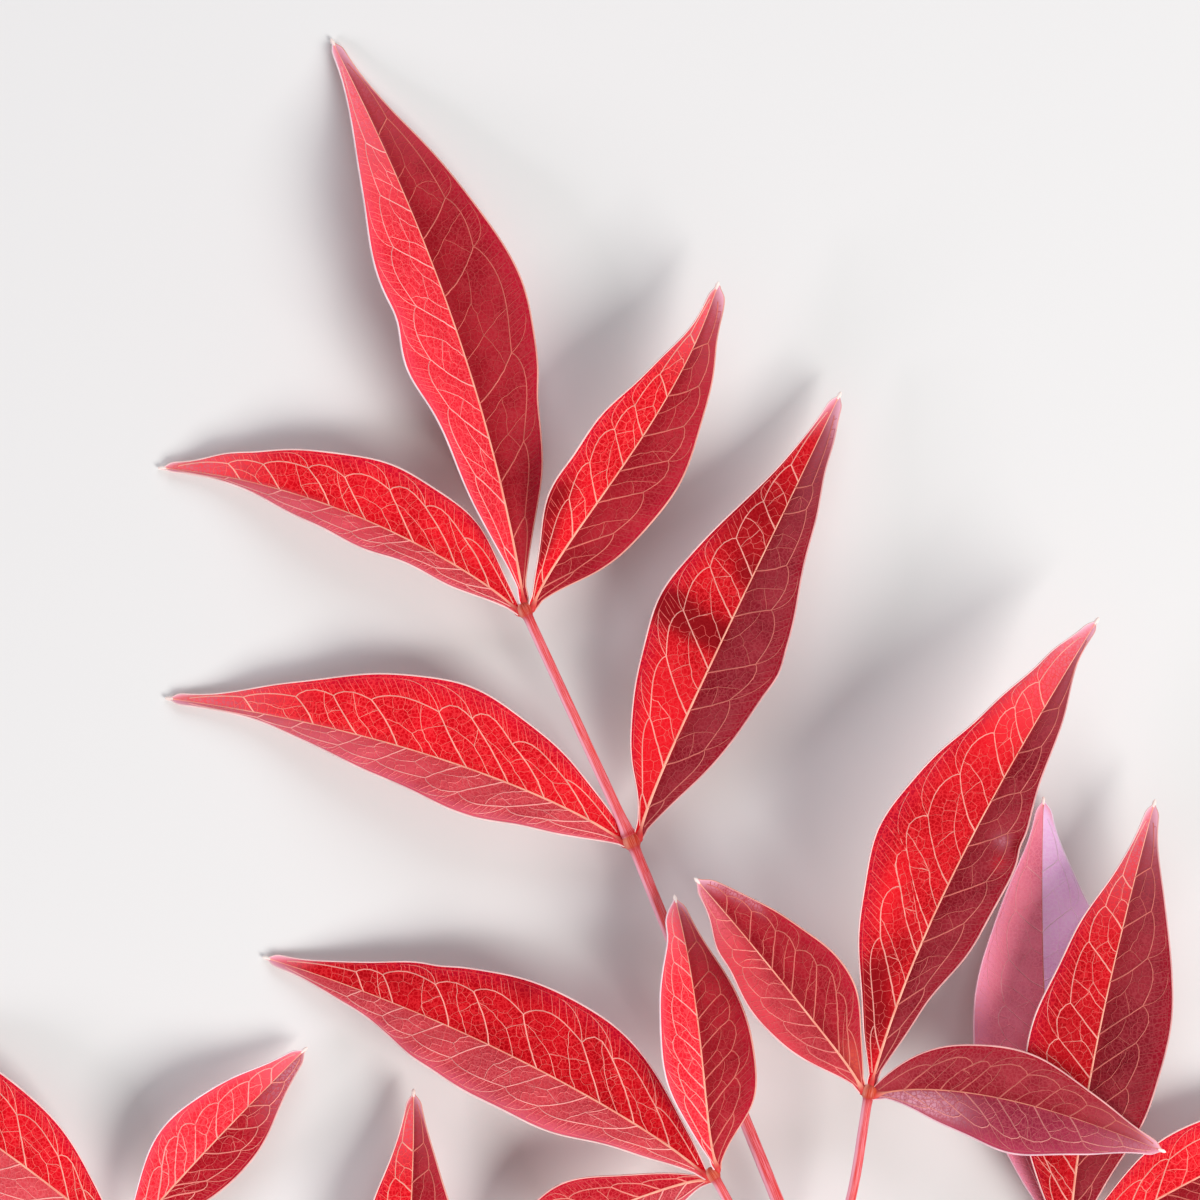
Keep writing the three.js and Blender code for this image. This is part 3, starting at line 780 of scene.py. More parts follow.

# %% [markdown]
# ## Blades
#
# The blade is one closed skin: its top, folded along the midrib, and its underside, a third of
# a millimetre below and thinner at the margin. A rim runs round it like piping, painted pale
# for the rim light that a margin lit from behind shows, and the midrib is a tapering rod that
# starts in the joint as the leaflet's thick foot, stands a little proud of the top and more of
# the underside, and ends in the small hard point.

# %% Painted shadow, painted light and painted sheen
SHADE_AND_LIGHT_SPOTS = {  # painted shadow and light: side (0 is left), mm along, across, long and wide, strength (below 0 is painted light)
    "upper_right": [
        (0, 26.6, 2.5, 2.6, 15.0, 1.2),
        (0, 29.0, 7.5, 1.8, 2.5, 0.5),
        (0, 12.0, 4.0, 11.0, 9.0, -0.8),
        (0, 32.0, 5.0, 2.6, 4.0, -0.55),
        (0, 34.8, 0.8, 2.4, 2.0, 0.6),
        (0, 42.0, 3.0, 9.0, 9.0, 0.68),
        (1, 5.0, 1.5, 6.0, 4.0, 0.35),
    ],
    "top_left": [(0, 28.0, 3.0, 11.0, 5.0, -0.85), (1, 8.0, 3.0, 6.0, 5.0, -0.7)],
    "crown_left_end": [(1, 30.0, 8.5, 3.5, 2.5, 0.5), (1, 47.0, 2.0, 8.0, 3.0, 0.3)],
    "top_right": [
        (0, 6.5, 3.0, 4.0, 1.4, 1.0),
        (0, 12.5, 5.4, 4.2, 2.0, 1.0),
        (1, 8.0, 2.5, 8.0, 6.0, 0.4),
    ],
    "crown_left_right": [(1, 15.0, 3.5, 8.0, 6.0, 0.35)],
    "crown_right_end": [
        (0, 8.0, 2.2, 4.2, 2.6, 1.0),
        (0, 13.2, 5.0, 3.4, 2.6, 0.9),
        (0, 18.0, 2.0, 3.5, 2.2, 0.45),
        (0, 23.0, 7.0, 7.0, 2.6, -0.7),
        (0, 49.0, 3.5, 10.0, 6.0, -0.95),
        (1, 6.0, 2.0, 6.0, 4.0, 0.3),
        (1, 34.3, 5.6, 1.4, 1.1, 1.0),
        (1, 31.6, 4.6, 1.9, 1.3, -0.4),
    ],
    "upper_left": [
        (0, 36.0, 3.0, 12.0, 5.0, -0.75),
        (1, 7.0, 2.5, 6.0, 5.0, -0.6),
        (1, 14.0, 7.0, 4.0, 2.5, 0.3),
    ],
    "right_outer_end": [(0, 20.0, 4.0, 16.0, 6.0, 0.5)],
    "crown_right_right": [(1, 5.0, 3.0, 7.0, 6.0, -0.85)],
    "crown_right_left": [
        (0, 10.0, 2.0, 6.0, 2.5, 0.35),
        (0, 15.0, 4.6, 8.0, 1.4, -0.8),
        (0, 27.0, 2.0, 8.0, 4.0, -0.9),
        (1, 4.0, 1.0, 3.0, 3.0, -0.8),
        (1, 20.0, 3.0, 11.0, 6.0, 0.35),
    ],
}
SHEEN_SPOTS = {  # the same, for painted pink sheen and painted highlights
    "crown_right_left": [
        (1, 31.4, 1.4, 1.6, 0.9, 0.5),
        (1, 29.2, 2.6, 1.8, 0.75, 0.5),
        (1, 26.8, 3.6, 1.9, 0.65, 0.45),
    ],
    "crown_right_end": [(1, 34.0, 3.6, 0.75, 0.9, 0.3)],
}


def spots(table, leaflet, side, along, across):
    """Sum of the soft spots of one of these tables, between -1 and 1."""
    total = 0 * across
    for spot_side, u, v, long, wide, strength in table.get(leaflet.name, []):
        if spot_side == side:
            total = total + strength * bump(along, u, long) * bump(across, v, wide)
    return np.clip(total, -1.0, 1.0)


TIP_SHEEN = (0.66, 0.4)  # share of the way where the painted pink sheen starts, and how strong it is at the tip
OTHER_TIP_SHEENS = {
    ("top_end", 0): (0.62, 0.5),
    ("top_left", 0): (0.42, 0.5),
    ("upper_left", 0): (0.45, 0.45),
    ("upper_right", 0): (0.86, 0.4),
    ("crown_left_end", 0): (0.86, 0.4),
    ("crown_left_end", 1): (0.88, 0.4),
    ("crown_right_left", 1): (0.92, 0.5),
    ("left_outer_right", 1): (0.6, 0.75),
    ("right_outer_left", 0): (0.9, 0.1),
    ("right_outer_left", 1): (0.9, 0.1),
}
TIP_SHEEN_END = 1.1  # share of the way, past the tip, where the painted sheen would be whole
SHADED = ("maroon", "wine")  # tints that get half as much painted sheen


def painted_sheen(leaflet, side, share):
    """How strong the painted pink sheen is, from 0 to 1, at shares of the way to the tip."""
    start, most = OTHER_TIP_SHEENS.get((leaflet.name, side), TIP_SHEEN)
    if leaflet.tones[side] in SHADED:
        most = 0.5 * most
    t = np.clip((share - start) / (TIP_SHEEN_END - start), 0, 1)
    return most * t * t * (3 - 2 * t)


# %% Blade, rims and rib of one leaflet
ROW_STEP = 0.8  # mm
BLUNT_END = 3.0  # mm of tip with closer rows
TOP_PARTS = np.linspace(0, 1, 11)
UNDER_PARTS = np.linspace(0, 1, 6)
MARGIN_THINNING = 0.55  # share of the thickness that is gone at the margin
MAP_TOP = (0.0, 0.44)
MAP_UNDER = (0.45, 0.89)
MAP_SEAM = 0.895
MAP_RIB = (0.90, 0.94)
MAP_RIMS = ((0.945, 0.965), (0.97, 0.99))
RIM_RADIUS = 0.115
RIM_INSET = 0.03
RIB_HALF_WIDTH = (0.34, 0.08)  # mm at its start and end, like the next two
RIB_RISE = (0.14, 0.04)
RIB_DEPTH = (0.62, 0.3)
RIB_STEP = 1.1  # mm between two rings, apart from those near both ends
RIB_FOOT = [-0.1, 0.0, 0.12, 0.3, 0.5, 0.75, 1.0, 1.3, 1.6, 2, 2.6, 3.3, 4.1]  # mm from the joint
RIB_END = [1.7, 1.3, 1.0, 0.75, 0.5, 0.3, 0.14, 0.04, 0.0]  # mm before the tip
FOOT_RADIUS = 0.56  # of a leaflet's thick foot, as a share of its joint's radius
HARD_POINT = 0.17  # mm that the hard point is thicker on each side
THIN_RIBS = {"crown_right_right": 0.6, "right_outer_left": 0.6}  # share of the usual size


def blade_start(leaflet):
    """Share of the way where the blade comes out of its joint."""
    return 0.4 * joints[leaflet.joint].radius / leaflet.length


def stations(leaflet):
    """Shares of the way at which the blade and its rims have a row of points."""
    near = 1 - BLUNT_END / leaflet.length
    even = np.linspace(blade_start(leaflet), near, round(leaflet.length / ROW_STEP))
    return np.concatenate([even, np.linspace(near, 1 - BLADE_END / leaflet.length, 11)[1:]])


def thickness(part):
    """Blade thickness at shares of the way from midrib to margin."""
    return BLADE_THICKNESS * (1 - MARGIN_THINNING * part)


def add_blade(shape, leaflet):
    """Top and underside as one closed skin."""
    share = stations(leaflet)
    along = share[:, None] * leaflet.length
    columns = []
    for side, parts, under in (
        (0, TOP_PARTS[::-1], False),
        (1, TOP_PARTS[1:], False),
        (1, UNDER_PARTS[::-1], True),
        (0, UNDER_PARTS[1:], True),
    ):
        width = half_width(leaflet, side, share)[:, None]
        across = parts[None, :] * width
        lift = -thickness(parts)[None, :] if under else 0.0
        points = surface(leaflet, side, along + 0 * across, across, lift)
        shift = pale = 0 * across
        if not under:
            # Painted shadow and painted light spots on the top.
            shift = spots(SHADE_AND_LIGHT_SPOTS, leaflet, side, along, across)
            # Painted pink sheen towards the tip and in the sheen spots.
            pale = painted_sheen(leaflet, side, share)[:, None] + spots(SHEEN_SPOTS, leaflet, side, along, across)
        columns.append((points, 0 * across + parts, shift, pale))
    points, across, shift, pale = (np.concatenate(c, axis=1) for c in zip(*columns))
    top = 2 * len(TOP_PARTS) - 1
    under = 2 * len(UNDER_PARTS) - 1
    finish = np.full(top + under, 2)
    finish[: len(TOP_PARTS) - 1] = 0
    finish[len(TOP_PARTS) - 1 : top - 1] = 1
    flat = np.concatenate([np.linspace(*MAP_TOP, top), np.linspace(*MAP_UNDER, under), [MAP_SEAM]])
    marks = {"along": share[:, None], "across": across, "tone": shift, "painted_sheen": pale}
    shape.add_tube(points, finish, flat, share, **marks)


def ring(centre, first, second, sides):
    """Rings of points round a line, from two half axes for each of its points."""
    angle = 2 * np.pi * np.arange(sides) / sides
    reach = first[:, None] * np.cos(angle)[None, :, None]
    return centre[:, None] + reach + second[:, None] * np.sin(angle)[None, :, None]


def add_rims(shape, leaflet):
    """Piping round both margins, painted pale as rim light."""
    share = stations(leaflet)
    along = share * leaflet.length
    for side in (0, 1):
        _, out, over = fold_axes(leaflet, side, share)
        width = half_width(leaflet, side, share)
        centre = surface(leaflet, side, along, width - RIM_INSET, -0.5 * thickness(1.0))
        size = RIM_RADIUS * (0.75 + 0.25 * np.sin(np.pi * share))[:, None]
        rings = ring(centre, out * size, over * size, 6)
        flat = np.linspace(*MAP_RIMS[side], 7)
        shape.add_tube(rings, 3 + side, flat, share, along=share[:, None], across=1.0)


def rounding(run, least):
    """Size of a rounded end, for a run from 0 to 1 away from it."""
    return np.sqrt(1 - (1 - np.clip(run, least, 1)) ** 2)


def add_rib(shape, leaflet):
    """Midrib rod, from the thick foot in the joint to the hard point at the tip."""
    middle_part = np.arange(5.0, leaflet.length - 2, RIB_STEP)
    along = np.concatenate([RIB_FOOT, middle_part, leaflet.length - np.array(RIB_END)])
    share = along / leaflet.length
    to_tip = leaflet.length - along
    centre, left = midrib(leaflet, share)
    round_start = rounding((along + 0.11) / 0.7, 0.01)
    round_end = rounding(to_tip / 0.35, 0.02)
    swell = FOOT_RADIUS * joints[leaflet.joint].radius * round_start * bump(along, 0.6, 1.25)
    point = HARD_POINT * bump(to_tip, 0.5, 0.6)
    size = THIN_RIBS.get(leaflet.name, 1.0)

    def taper(pair):
        return (pair[0] + (pair[1] - pair[0]) * np.maximum(share, 0) ** 0.8) * round_start * size

    half = ((np.maximum(taper(RIB_HALF_WIDTH), swell) + point) * round_end)[:, None]
    rise = ((np.maximum(taper(RIB_RISE), swell * 0.8) + 0.6 * point) * round_end)[:, None]
    drop = ((np.maximum(taper(RIB_DEPTH), swell) + 0.2 * point) * round_end)[:, None]
    middle = centre + UP * (rise - drop) / 2
    rings = ring(middle, left * half, UP * (rise + drop) / 2, 12)
    finish = np.where(along[1:] > leaflet.length - 0.8, 6, 5)[:, None]
    flat = np.linspace(*MAP_RIB, 13)
    shape.add_tube(rings, finish, flat, share, along=share[:, None])


def build_leaflet(leaflet):
    """The leaflet's blade, rims and rib as one piece."""
    shape = Shape()
    add_blade(shape, leaflet)
    add_rims(shape, leaflet)
    add_rib(shape, leaflet)
    left, right = leaflet.tones
    rib = DULL_RIB if leaflet.name in THIN_RIBS else RIB
    finishes = [LEAF[left], LEAF[right], UNDERSIDE, RIM_LIGHT[left], RIM_LIGHT[right], rib, TIP]
    return make_piece(f"blade_{leaflet.name}", shape, finishes, f"leaflet_{leaflet.name}")


build_all("blades:", build_leaflet, LEAFLETS)

# %% [markdown]
# ## Veins
#
# The veins are what makes these leaflets. The side veins fork on a chain of arches, shorter
# veins between them split like a Y, straight veinlets run out from the arches to the margin
# like the teeth of a comb, and a net of small cells fills the rest. Drawing that by hand would
# take days, and a texture would look printed on. Here every vein is a line in the flat plane
# of its half blade, and becomes a thin raised bead that lies on the surface. The net comes
# from seeded points: the borders between the areas nearest to each point are the veinlets.
# Points set in pairs along both sides of a large vein make the small ones meet it squarely.

# %% Large veins of a half blade
SIDE_VEIN = (0.14, 0.11)  # half widths at a line's start and end, mm
ARCH = (0.1, 0.095)
INNER_VEIN = (0.08, 0.065)
INNER_BRANCH = (0.062, 0.052)
OUTER_VEIN = (0.075, 0.05)
COMB = (0.06, 0.05)
FINE_COMB = (0.042, 0.035)
NET = (0.05, 0.045)
LINE_STEP = 0.6
ARCH_ENDS = ((0.035, 0.4), (0.95, 0.45))  # the chain's ends: share of the way and of the width
ARCH_LIMIT = 0.84  # share of the width that no arch goes beyond
SHALLOW_FORK = 2.2  # mm from the midrib under which no shorter vein starts
WIDE_GAP = 7.5  # mm between side veins from which two shorter ones fit in
Line = namedtuple("Line", "points halves large")


def between(first, second, count):
    """Points on a straight line."""
    return first + (second - first) * np.linspace(0, 1, count)[:, None]


def bend(first, pull, last):
    """Points on a smooth bend between two points, drawn towards a third."""
    size = np.linalg.norm(pull - first) + np.linalg.norm(last - pull)
    t = np.linspace(0, 1, max(4, round(size / LINE_STEP)))[:, None]
    return first * (1 - t) ** 2 + pull * 2 * t * (1 - t) + last * t**2


def wander(path, size, rng):
    """The same line with its inner points moved a little at random."""
    path[1:-1] += rng.uniform(-size, size, (len(path) - 2, 2))
    return path


def part_way(path, share):
    """The point of a line at about a share of the way along it."""
    return path[round((len(path) - 1) * share)]


def side_vein_lines(plan, rng):
    """Side veins from the midrib to their forks, bowed a little either way."""
    lines = []
    for start, fork in zip(plan.starts, plan.forks):
        foot = np.array([start, 0.0])
        bow = np.array([rng.uniform(-0.22, 0.12) * fork[1], 0.0])
        path = wander(bend(foot, (foot + fork) / 2 + bow, fork), 0.035, rng)
        lines.append(Line(path, SIDE_VEIN, True))
    return lines


def arch_lines(leaflet, side, plan, rng):
    """The chain of arches that joins the forks, from the foot to the tip."""
    length = leaflet.length
    foot, end = (np.array([s * length, part * half_width(leaflet, side, s)]) for s, part in ARCH_ENDS)
    nodes = [foot, *plan.forks, end]
    lines = []
    for first, second in zip(nodes, nodes[1:]):
        steps = np.linspace(0, np.pi, max(7, round((second[0] - first[0]) / LINE_STEP)))
        t = (1 - np.cos(steps)) / 2
        path = first + (second - first) * t[:, None]
        width = half_width(leaflet, side, path[:, 0] / length)
        bulge = rng.uniform(0.1, 0.17) * width * np.sin(np.pi * np.minimum(t**1.5, 1)) ** 0.65
        path[:, 1] = np.minimum(path[:, 1] + bulge, ARCH_LIMIT * width)
        lines.append(Line(path, ARCH, True))
    return lines


def inner_vein_lines(plan, side_veins, arches, rng):
    """Shorter veins between the side veins. Each splits in two, like a Y."""
    lines = []
    for number, start in enumerate(plan.starts[:-1]):
        gap = plan.starts[number + 1] - start
        fork = plan.forks[number]
        if fork[1] < SHALLOW_FORK:
            continue
        arch = arches[number + 1].points
        after = side_veins[number + 1].points
        count = 2 if gap > WIDE_GAP else 1
        near = part_way(side_veins[number].points, rng.uniform(0.62, 0.92))
        for place in range(count):
            share = (place + 1) / (count + 1) + rng.uniform(-0.1, 0.1)
            begin = np.array([start + share * gap, 0.0])
            way = fork + share * (plan.forks[number + 1] - fork) - begin
            split = begin + way * rng.uniform(0.38, 0.6) + [rng.uniform(-0.4, 0.4), 0.0]
            top = part_way(arch, 0.75 * share + rng.uniform(0.0, 0.15))
            if place == count - 1 and rng.random() < 0.55:
                top = part_way(after, rng.uniform(0.55, 0.8))
            sway = np.array([rng.uniform(-0.6, 0.6), 0.0])
            stem = wander(bend(begin, (begin + split) / 2 + sway, split), 0.08, rng)
            back = wander(bend(split, (split + near) / 2 + [0.0, 0.3], near), 0.1, rng)
            onward = wander(bend(split, (split + top) / 2 + 0.15 * way, top), 0.1, rng)
            lines.append(Line(stem, INNER_VEIN, True))
            lines += [Line(back, INNER_BRANCH, True), Line(onward, INNER_BRANCH, True)]
            near = split
    return lines


# %% Comb of veinlets towards the margin
COMB_SPACING = 0.6  # mm
COMB_END = 0.965  # share of the way
COMB_ROOM = 0.3  # mm between arch and margin, without which there is no comb
COMB_LEAN = (0.4, 0.8)  # mm towards the tip for each mm outwards, least and most
MARGIN_BAND = (0.12, 0.05)  # mm, and a share of the width, that stay bare inside the margin


def edge_point(leaflet, side, along):
    """Point on the thin line that runs just inside the margin."""
    width = half_width(leaflet, side, along / leaflet.length)
    return np.array([along, width - MARGIN_BAND[0] - MARGIN_BAND[1] * width])


def comb_lines(leaflet, side, chain, rng):
    """Straight veinlets from the arches to a thin line along the margin."""
    lines = []
    ends = []
    place = chain[0, 0] + 0.4
    strong = False
    lean = rng.uniform(*COMB_LEAN)
    last = COMB_END * leaflet.length
    while place < chain[-1, 0]:
        start = np.array([place, np.interp(place, chain[:, 0], chain[:, 1])])
        place += COMB_SPACING * rng.uniform(0.65, 1.35)
        strong = not strong
        room = edge_point(leaflet, side, start[0])[1] - start[1]
        end = edge_point(leaflet, side, start[0] + lean * max(room, 0) * rng.uniform(0.75, 1.25))
        if room < COMB_ROOM or end[0] > last or (ends and end[0] < ends[-1][0] + 0.2):
            continue
        path = wander(between(start, end, 5), 0.045, rng)
        if strong:
            ends.append(end)
            lines.append(Line(path, COMB, False))
        else:
            cut = rng.integers(0, 3)
            lines.append(Line(path[cut : cut + 3], FINE_COMB, False))
    for first, second in zip(ends, ends[1:]):
        if second[0] - first[0] < 2.5 and rng.random() < 0.8:
            lines.append(Line(between(first, second, 3), FINE_COMB, False))
    for fork in PLANS[leaflet.name, side].forks:
        room = edge_point(leaflet, side, fork[0])[1] - fork[1]
        if room > 1.4 and rng.random() < 0.6:
            turn = fork + [lean * room * 0.9, room * 0.95]
            far = edge_point(leaflet, side, min(turn[0] + room * rng.uniform(0.8, 1.6), last))
            lines.append(Line(bend(fork, turn, far), OUTER_VEIN, True))
    return lines


# %% Net of veinlets
CELL = 1.6  # mm between seeds
PAIR_GAP = 0.6  # mm from a large vein to the seeds beside it
SHORT_BORDER = 0.12  # mm under which a border is left out
GAPS = 0.1  # share of the borders that are left out anyway
LOOSE_ENDS = 0.3  # share of the borders with a side branch that ends free


def spread_points(line, step):
    """Points at even steps along a line, with the direction at each."""
    legs = np.linalg.norm(np.diff(line, axis=0), axis=1)
    run = np.concatenate([[0], np.cumsum(legs)])
    count = max(2, round(run[-1] / step))
    at = (np.arange(count) + 0.5) * run[-1] / count

    def spot(distance):
        return np.stack([np.interp(distance, run, line[:, i]) for i in (0, 1)], axis=-1)

    points = spot(at)
    ahead = spot(at + 0.1) - points
    behind = points - spot(at - 0.1)
    return points, unit(ahead + behind)


def turned(ways):
    """Flat directions turned a quarter to the left."""
    return np.stack([-ways[:, 1], ways[:, 0]], axis=-1)


def seed_points(large, chain, rng):
    """Seeds in pairs along the large veins, and loose ones in between, with their owners."""
    seeds = []
    owners = []
    taken = np.empty((0, 2))
    for number, line in enumerate(large):
        points, ways = spread_points(line, CELL * 0.85)
        for point, across in zip(points, turned(ways)):
            pair = np.array([point + PAIR_GAP * across, point - PAIR_GAP * across])
            if len(taken) and np.linalg.norm(taken[:, None] - pair, axis=-1).min() < PAIR_GAP * 0.9:
                continue
            seeds += [*pair]
            owners += [(number, 1), (number, -1)]
            taken = np.array(seeds)
    low, high = chain[0, 0], chain[-1, 0]
    for _ in range(int((high - low) * 40)):
        along = rng.uniform(low, high)
        across = rng.uniform(0, np.interp(along, chain[:, 0], chain[:, 1]))
        spot = np.array([along, across])
        if np.linalg.norm(np.array(seeds) - spot, axis=1).min() > CELL * rng.uniform(0.66, 0.9):
            seeds.append(spot)
            owners.append((-1, 0))
    return seeds, owners


def net_lines(large, chain, rng):
    """Borders between the cells round the seeds, inside the arches."""
    seeds, owners = seed_points(large, chain, rng)
    found = delaunay_2d_cdt([Vector(seed) for seed in seeds], [], [], 0, 1e-6)
    corners = np.array([tuple(point) for point in found[0]])
    owner = [owners[origin[0]] for origin in found[3]]
    a, b, c = (corners[[face[i] for face in found[2]]] for i in range(3))
    ab, ac = b - a, c - a
    twice = 2 * (ab[:, 0] * ac[:, 1] - ab[:, 1] * ac[:, 0])
    ab2, ac2 = (ab**2).sum(axis=1), (ac**2).sum(axis=1)
    x = (ac[:, 1] * ab2 - ab[:, 1] * ac2) / twice
    y = (ab[:, 0] * ac2 - ac[:, 0] * ab2) / twice
    middle = a + np.stack([x, y], axis=-1)
    sides = {}
    for number, face in enumerate(found[2]):
        for i in range(3):
            sides.setdefault(tuple(sorted((face[i], face[i - 1]))), []).append(number)
    kept = []
    for (first, second), faces in sides.items():
        same_vein = owner[first][0] == owner[second][0] >= 0
        if len(faces) < 2 or (same_vein and owner[first][1] != owner[second][1]):
            continue
        ends = middle[faces]
        limit = np.interp(ends[:, 0], chain[:, 0], chain[:, 1])
        inside = (ends[:, 1] > -0.1) & (ends[:, 1] < limit + 0.1)
        inside &= (ends[:, 0] > chain[0, 0]) & (ends[:, 0] < chain[-1, 0])
        size = np.linalg.norm(ends[1] - ends[0])
        if not inside.all() or size < SHORT_BORDER or size > 3 * CELL or rng.random() < GAPS:
            continue
        path = between(ends[0], ends[1], 3)
        path[1] += rng.uniform(-0.12, 0.12, 2) * size
        kept.append((faces, path))
    meetings = np.bincount(np.concatenate([faces for faces, _ in kept]))
    lines = [Line(path, NET, False) for faces, path in kept if meetings[faces].sum() > 2]
    for line in list(lines):
        ahead = line.points[-1] - line.points[0]
        size = np.linalg.norm(ahead)
        if size > 0.5 and rng.random() < LOOSE_ENDS:
            out = np.array([-ahead[1], ahead[0]]) / size * rng.choice([-1, 1]) * rng.uniform(0.35, 0.6)
            tip = line.points[1] + out + ahead * rng.uniform(-0.2, 0.2)
            if tip[1] > 0.1:
                lines.append(Line(between(line.points[1], tip, 2), FINE_COMB, False))
    return lines


def vein_lines(leaflet, side):
    """All veins of a half blade as lines in its own plane."""
    rng = dice(leaflet, side, 3)
    plan = PLANS[leaflet.name, side]
    side_veins = side_vein_lines(plan, rng)
    arches = arch_lines(leaflet, side, plan, rng)
    inner = inner_vein_lines(plan, side_veins, arches, rng)
    chain = np.concatenate([arch.points[:-1] for arch in arches])
    spine = between(np.array([chain[0, 0], 0.0]), np.array([chain[-1, 0], 0.0]), 30)
    large = [spine] + [line.points for line in side_veins + arches + inner]
    comb = comb_lines(leaflet, side, chain, rng)
    return side_veins + arches + inner + comb + net_lines(large, chain, rng)


# %% Lay the beads on the blade
BEAD_SINK = 0.035  # mm that a bead's edges lie in the blade
BEAD_RISE = 0.012  # mm that every bead is higher
BEAD_SHAPE = 0.55  # height of a bead as a share of its half width
UNDER_BEAD = 1.7  # large veins stand out more below
MAP_BEADS = (0.0, 0.49)
MAP_BEADS_UNDER = (0.5, 0.99)
MAP_BEADS_REACH = 0.24  # for each half blade


def add_beads(shape, leaflet, side, lines, under):
    """Three-sided beads along lines, on the top or the underside of a half blade."""
    spots = []
    lifts = []
    finishes = []
    for line in lines:
        normal = unit(turned(np.gradient(line.points, axis=0)))
        half = np.linspace(*line.halves, len(normal))[:, None]
        spots.append(np.stack([line.points + normal * half, line.points, line.points - normal * half], 1))
        rise = half * BEAD_SHAPE * (UNDER_BEAD if under else 1)
        lifts.append(np.concatenate([0 * rise - BEAD_SINK, rise + BEAD_RISE, 0 * rise - BEAD_SINK], 1))
        finishes.append(2 * side + (0 if line.large else 1))
    counts = [len(spot) for spot in spots]
    spots = np.concatenate(spots)
    lifts = np.concatenate(lifts)
    along, across = spots[..., 0], np.maximum(spots[..., 1], 0.0)
    width = half_width(leaflet, side, along / leaflet.length)
    part = np.minimum(across / width, 1.0)
    height = -thickness(part) - lifts if under else lifts
    points = surface(leaflet, side, along, across, height)
    flat_u = along / leaflet.length
    widest = max(leaflet.widths) * 1.1
    middle = np.mean(MAP_BEADS_UNDER if under else MAP_BEADS)
    flat_v = middle + (MAP_BEADS_REACH if side == 0 else -MAP_BEADS_REACH) * across / widest
    first = shape.add_points(points, {"along": flat_u, "across": part})
    flip = (side == 1) != under
    start = 0
    for count, finish in zip(counts, finishes):
        number = first + 3 * start + np.arange(3 * count).reshape(count, 3)
        near, far = number[:-1], number[1:]
        nxt = [1, 2, 0]
        quads = np.stack([near, near[:, nxt], far[:, nxt], far], axis=-1).reshape(-1, 4)
        ends = [number[0][::-1], number[-1]]
        if flip:
            quads = quads[:, ::-1]
            ends = [end[::-1] for end in ends]
        shape.faces += quads.tolist() + [end.tolist() for end in ends]
        local = np.concatenate([quads.ravel(), *ends]) - first
        shape.places.append(np.stack([flat_u.ravel()[local], flat_v.ravel()[local]], axis=-1))
        shape.finish.append(np.full(len(quads) + 2, finish))
        start += count


def build_veins(leaflet):
    """All veins of a leaflet as one piece."""
    shape = Shape()
    for side in (0, 1):
        lines = vein_lines(leaflet, side)
        add_beads(shape, leaflet, side, lines, under=False)
        add_beads(shape, leaflet, side, [line for line in lines if line.large], under=True)
    finishes = [kind[tone] for tone in leaflet.tones for kind in (VEIN, VEINLET)]
    return make_piece(f"veins_{leaflet.name}", shape, finishes, f"leaflet_{leaflet.name}")


build_all("vein pieces:", build_veins, LEAFLETS)

# %% [markdown]
# ## Stalks and joints
#
# A stalk is a waxy rod, pinkish red, with faint ribs along it. It leaves its joint a little
# thicker, from a crease darkened with painted shade, and ends in a swollen tan joint of its
# own, like a ring, with painted shade under it as well. A tube of rings follows the same line
# as the plain solid, and its radius does all the work: the flare, the swelling and the ribs are
# sums of small bumps. The stalk and its joint share the streaks, a painted highlight on the
# left side and the painted shade in the creases, so these are a node group too.

# %% Stalk finishes
# Painted shade in the creases by the joints.
CREASE_SHADE_RED = (0.42, 0.010, 0.012)
STREAKS = 9.0  # how fine they are


def build_streak_group():
    """Streak, Pale Side (a painted highlight) and Crease (painted shade) of a stalk, from how fine its
    streaks are.
    """
    group, values = new_group("stalk_streaks", {"Fineness": STREAKS})
    place = mark(group, "across")
    spot = add_node(group, "ShaderNodeCombineXYZ", {"X": place, "Y": mark(group, "along")}).outputs[0]
    streaks = {"Vector": spot, "Scale": values["Fineness"], "Detail": 4.0}
    streaks = add_node(group, "ShaderNodeTexNoise", streaks).outputs["Fac"]
    masks = {
        "Streak": remap(group, streaks, 0.4, 0.62),
        # Pale Side: painted highlight on the left side, where light from the left glints.
        "Pale Side": remap(group, place, -0.2, -0.8, to_high=0.9),
        # Crease: painted shade, from the tone mark.
        "Crease": mark(group, "tone"),
    }
    return close_group(group, masks)


STREAK_GROUP = build_streak_group()


def stalk_finish(name, colour, pale, deep):
    """Waxy red skin with long streaks, paler and deeper by turns, with a painted highlight on the left
    side and painted shade in the creases.
    """
    values = {"Roughness": 0.42, "Specular_IOR_Level": 0.2, "Coat_Weight": 0.04, "Coat_Roughness": 0.25}
    material, tree, shader = new_finish(name, **values)
    skin = place_group(tree, SKIN_GROUP, Cell_Size=0.35, Patch_Size=5.0)
    masks = place_group(tree, STREAK_GROUP, Fineness=STREAKS)
    layers = (
        (skin["Patch"], deep),
        (remap(tree, masks["Streak"], 0, 1, to_high=0.35), pale),
        # painted highlight on the left side
        (masks["Pale Side"], pale),
        # painted shade in the creases
        (masks["Crease"], CREASE_SHADE_RED),
    )
    rough = remap(tree, masks["Streak"], 0, 1, 0.36, 0.5)
    link_skin(tree, shader, layered(tree, colour, layers), rough, skin["Height"], 0.25, 0.05)
    return material


# For both, the second colour is that of the paler streaks and of the painted highlight on the left side.
STALK = stalk_finish("stalk_skin", (0.77, 0.065, 0.054), (1.0, 0.50, 0.62), (0.68, 0.036, 0.034))
KNOT = stalk_finish("joint_skin", (0.62, 0.072, 0.020), (0.90, 0.34, 0.24), (0.54, 0.026, 0.012))
PITH = plain_finish("cut_pith", (0.78, 0.66, 0.48), (0.62, 0.48, 0.33), 0.7)

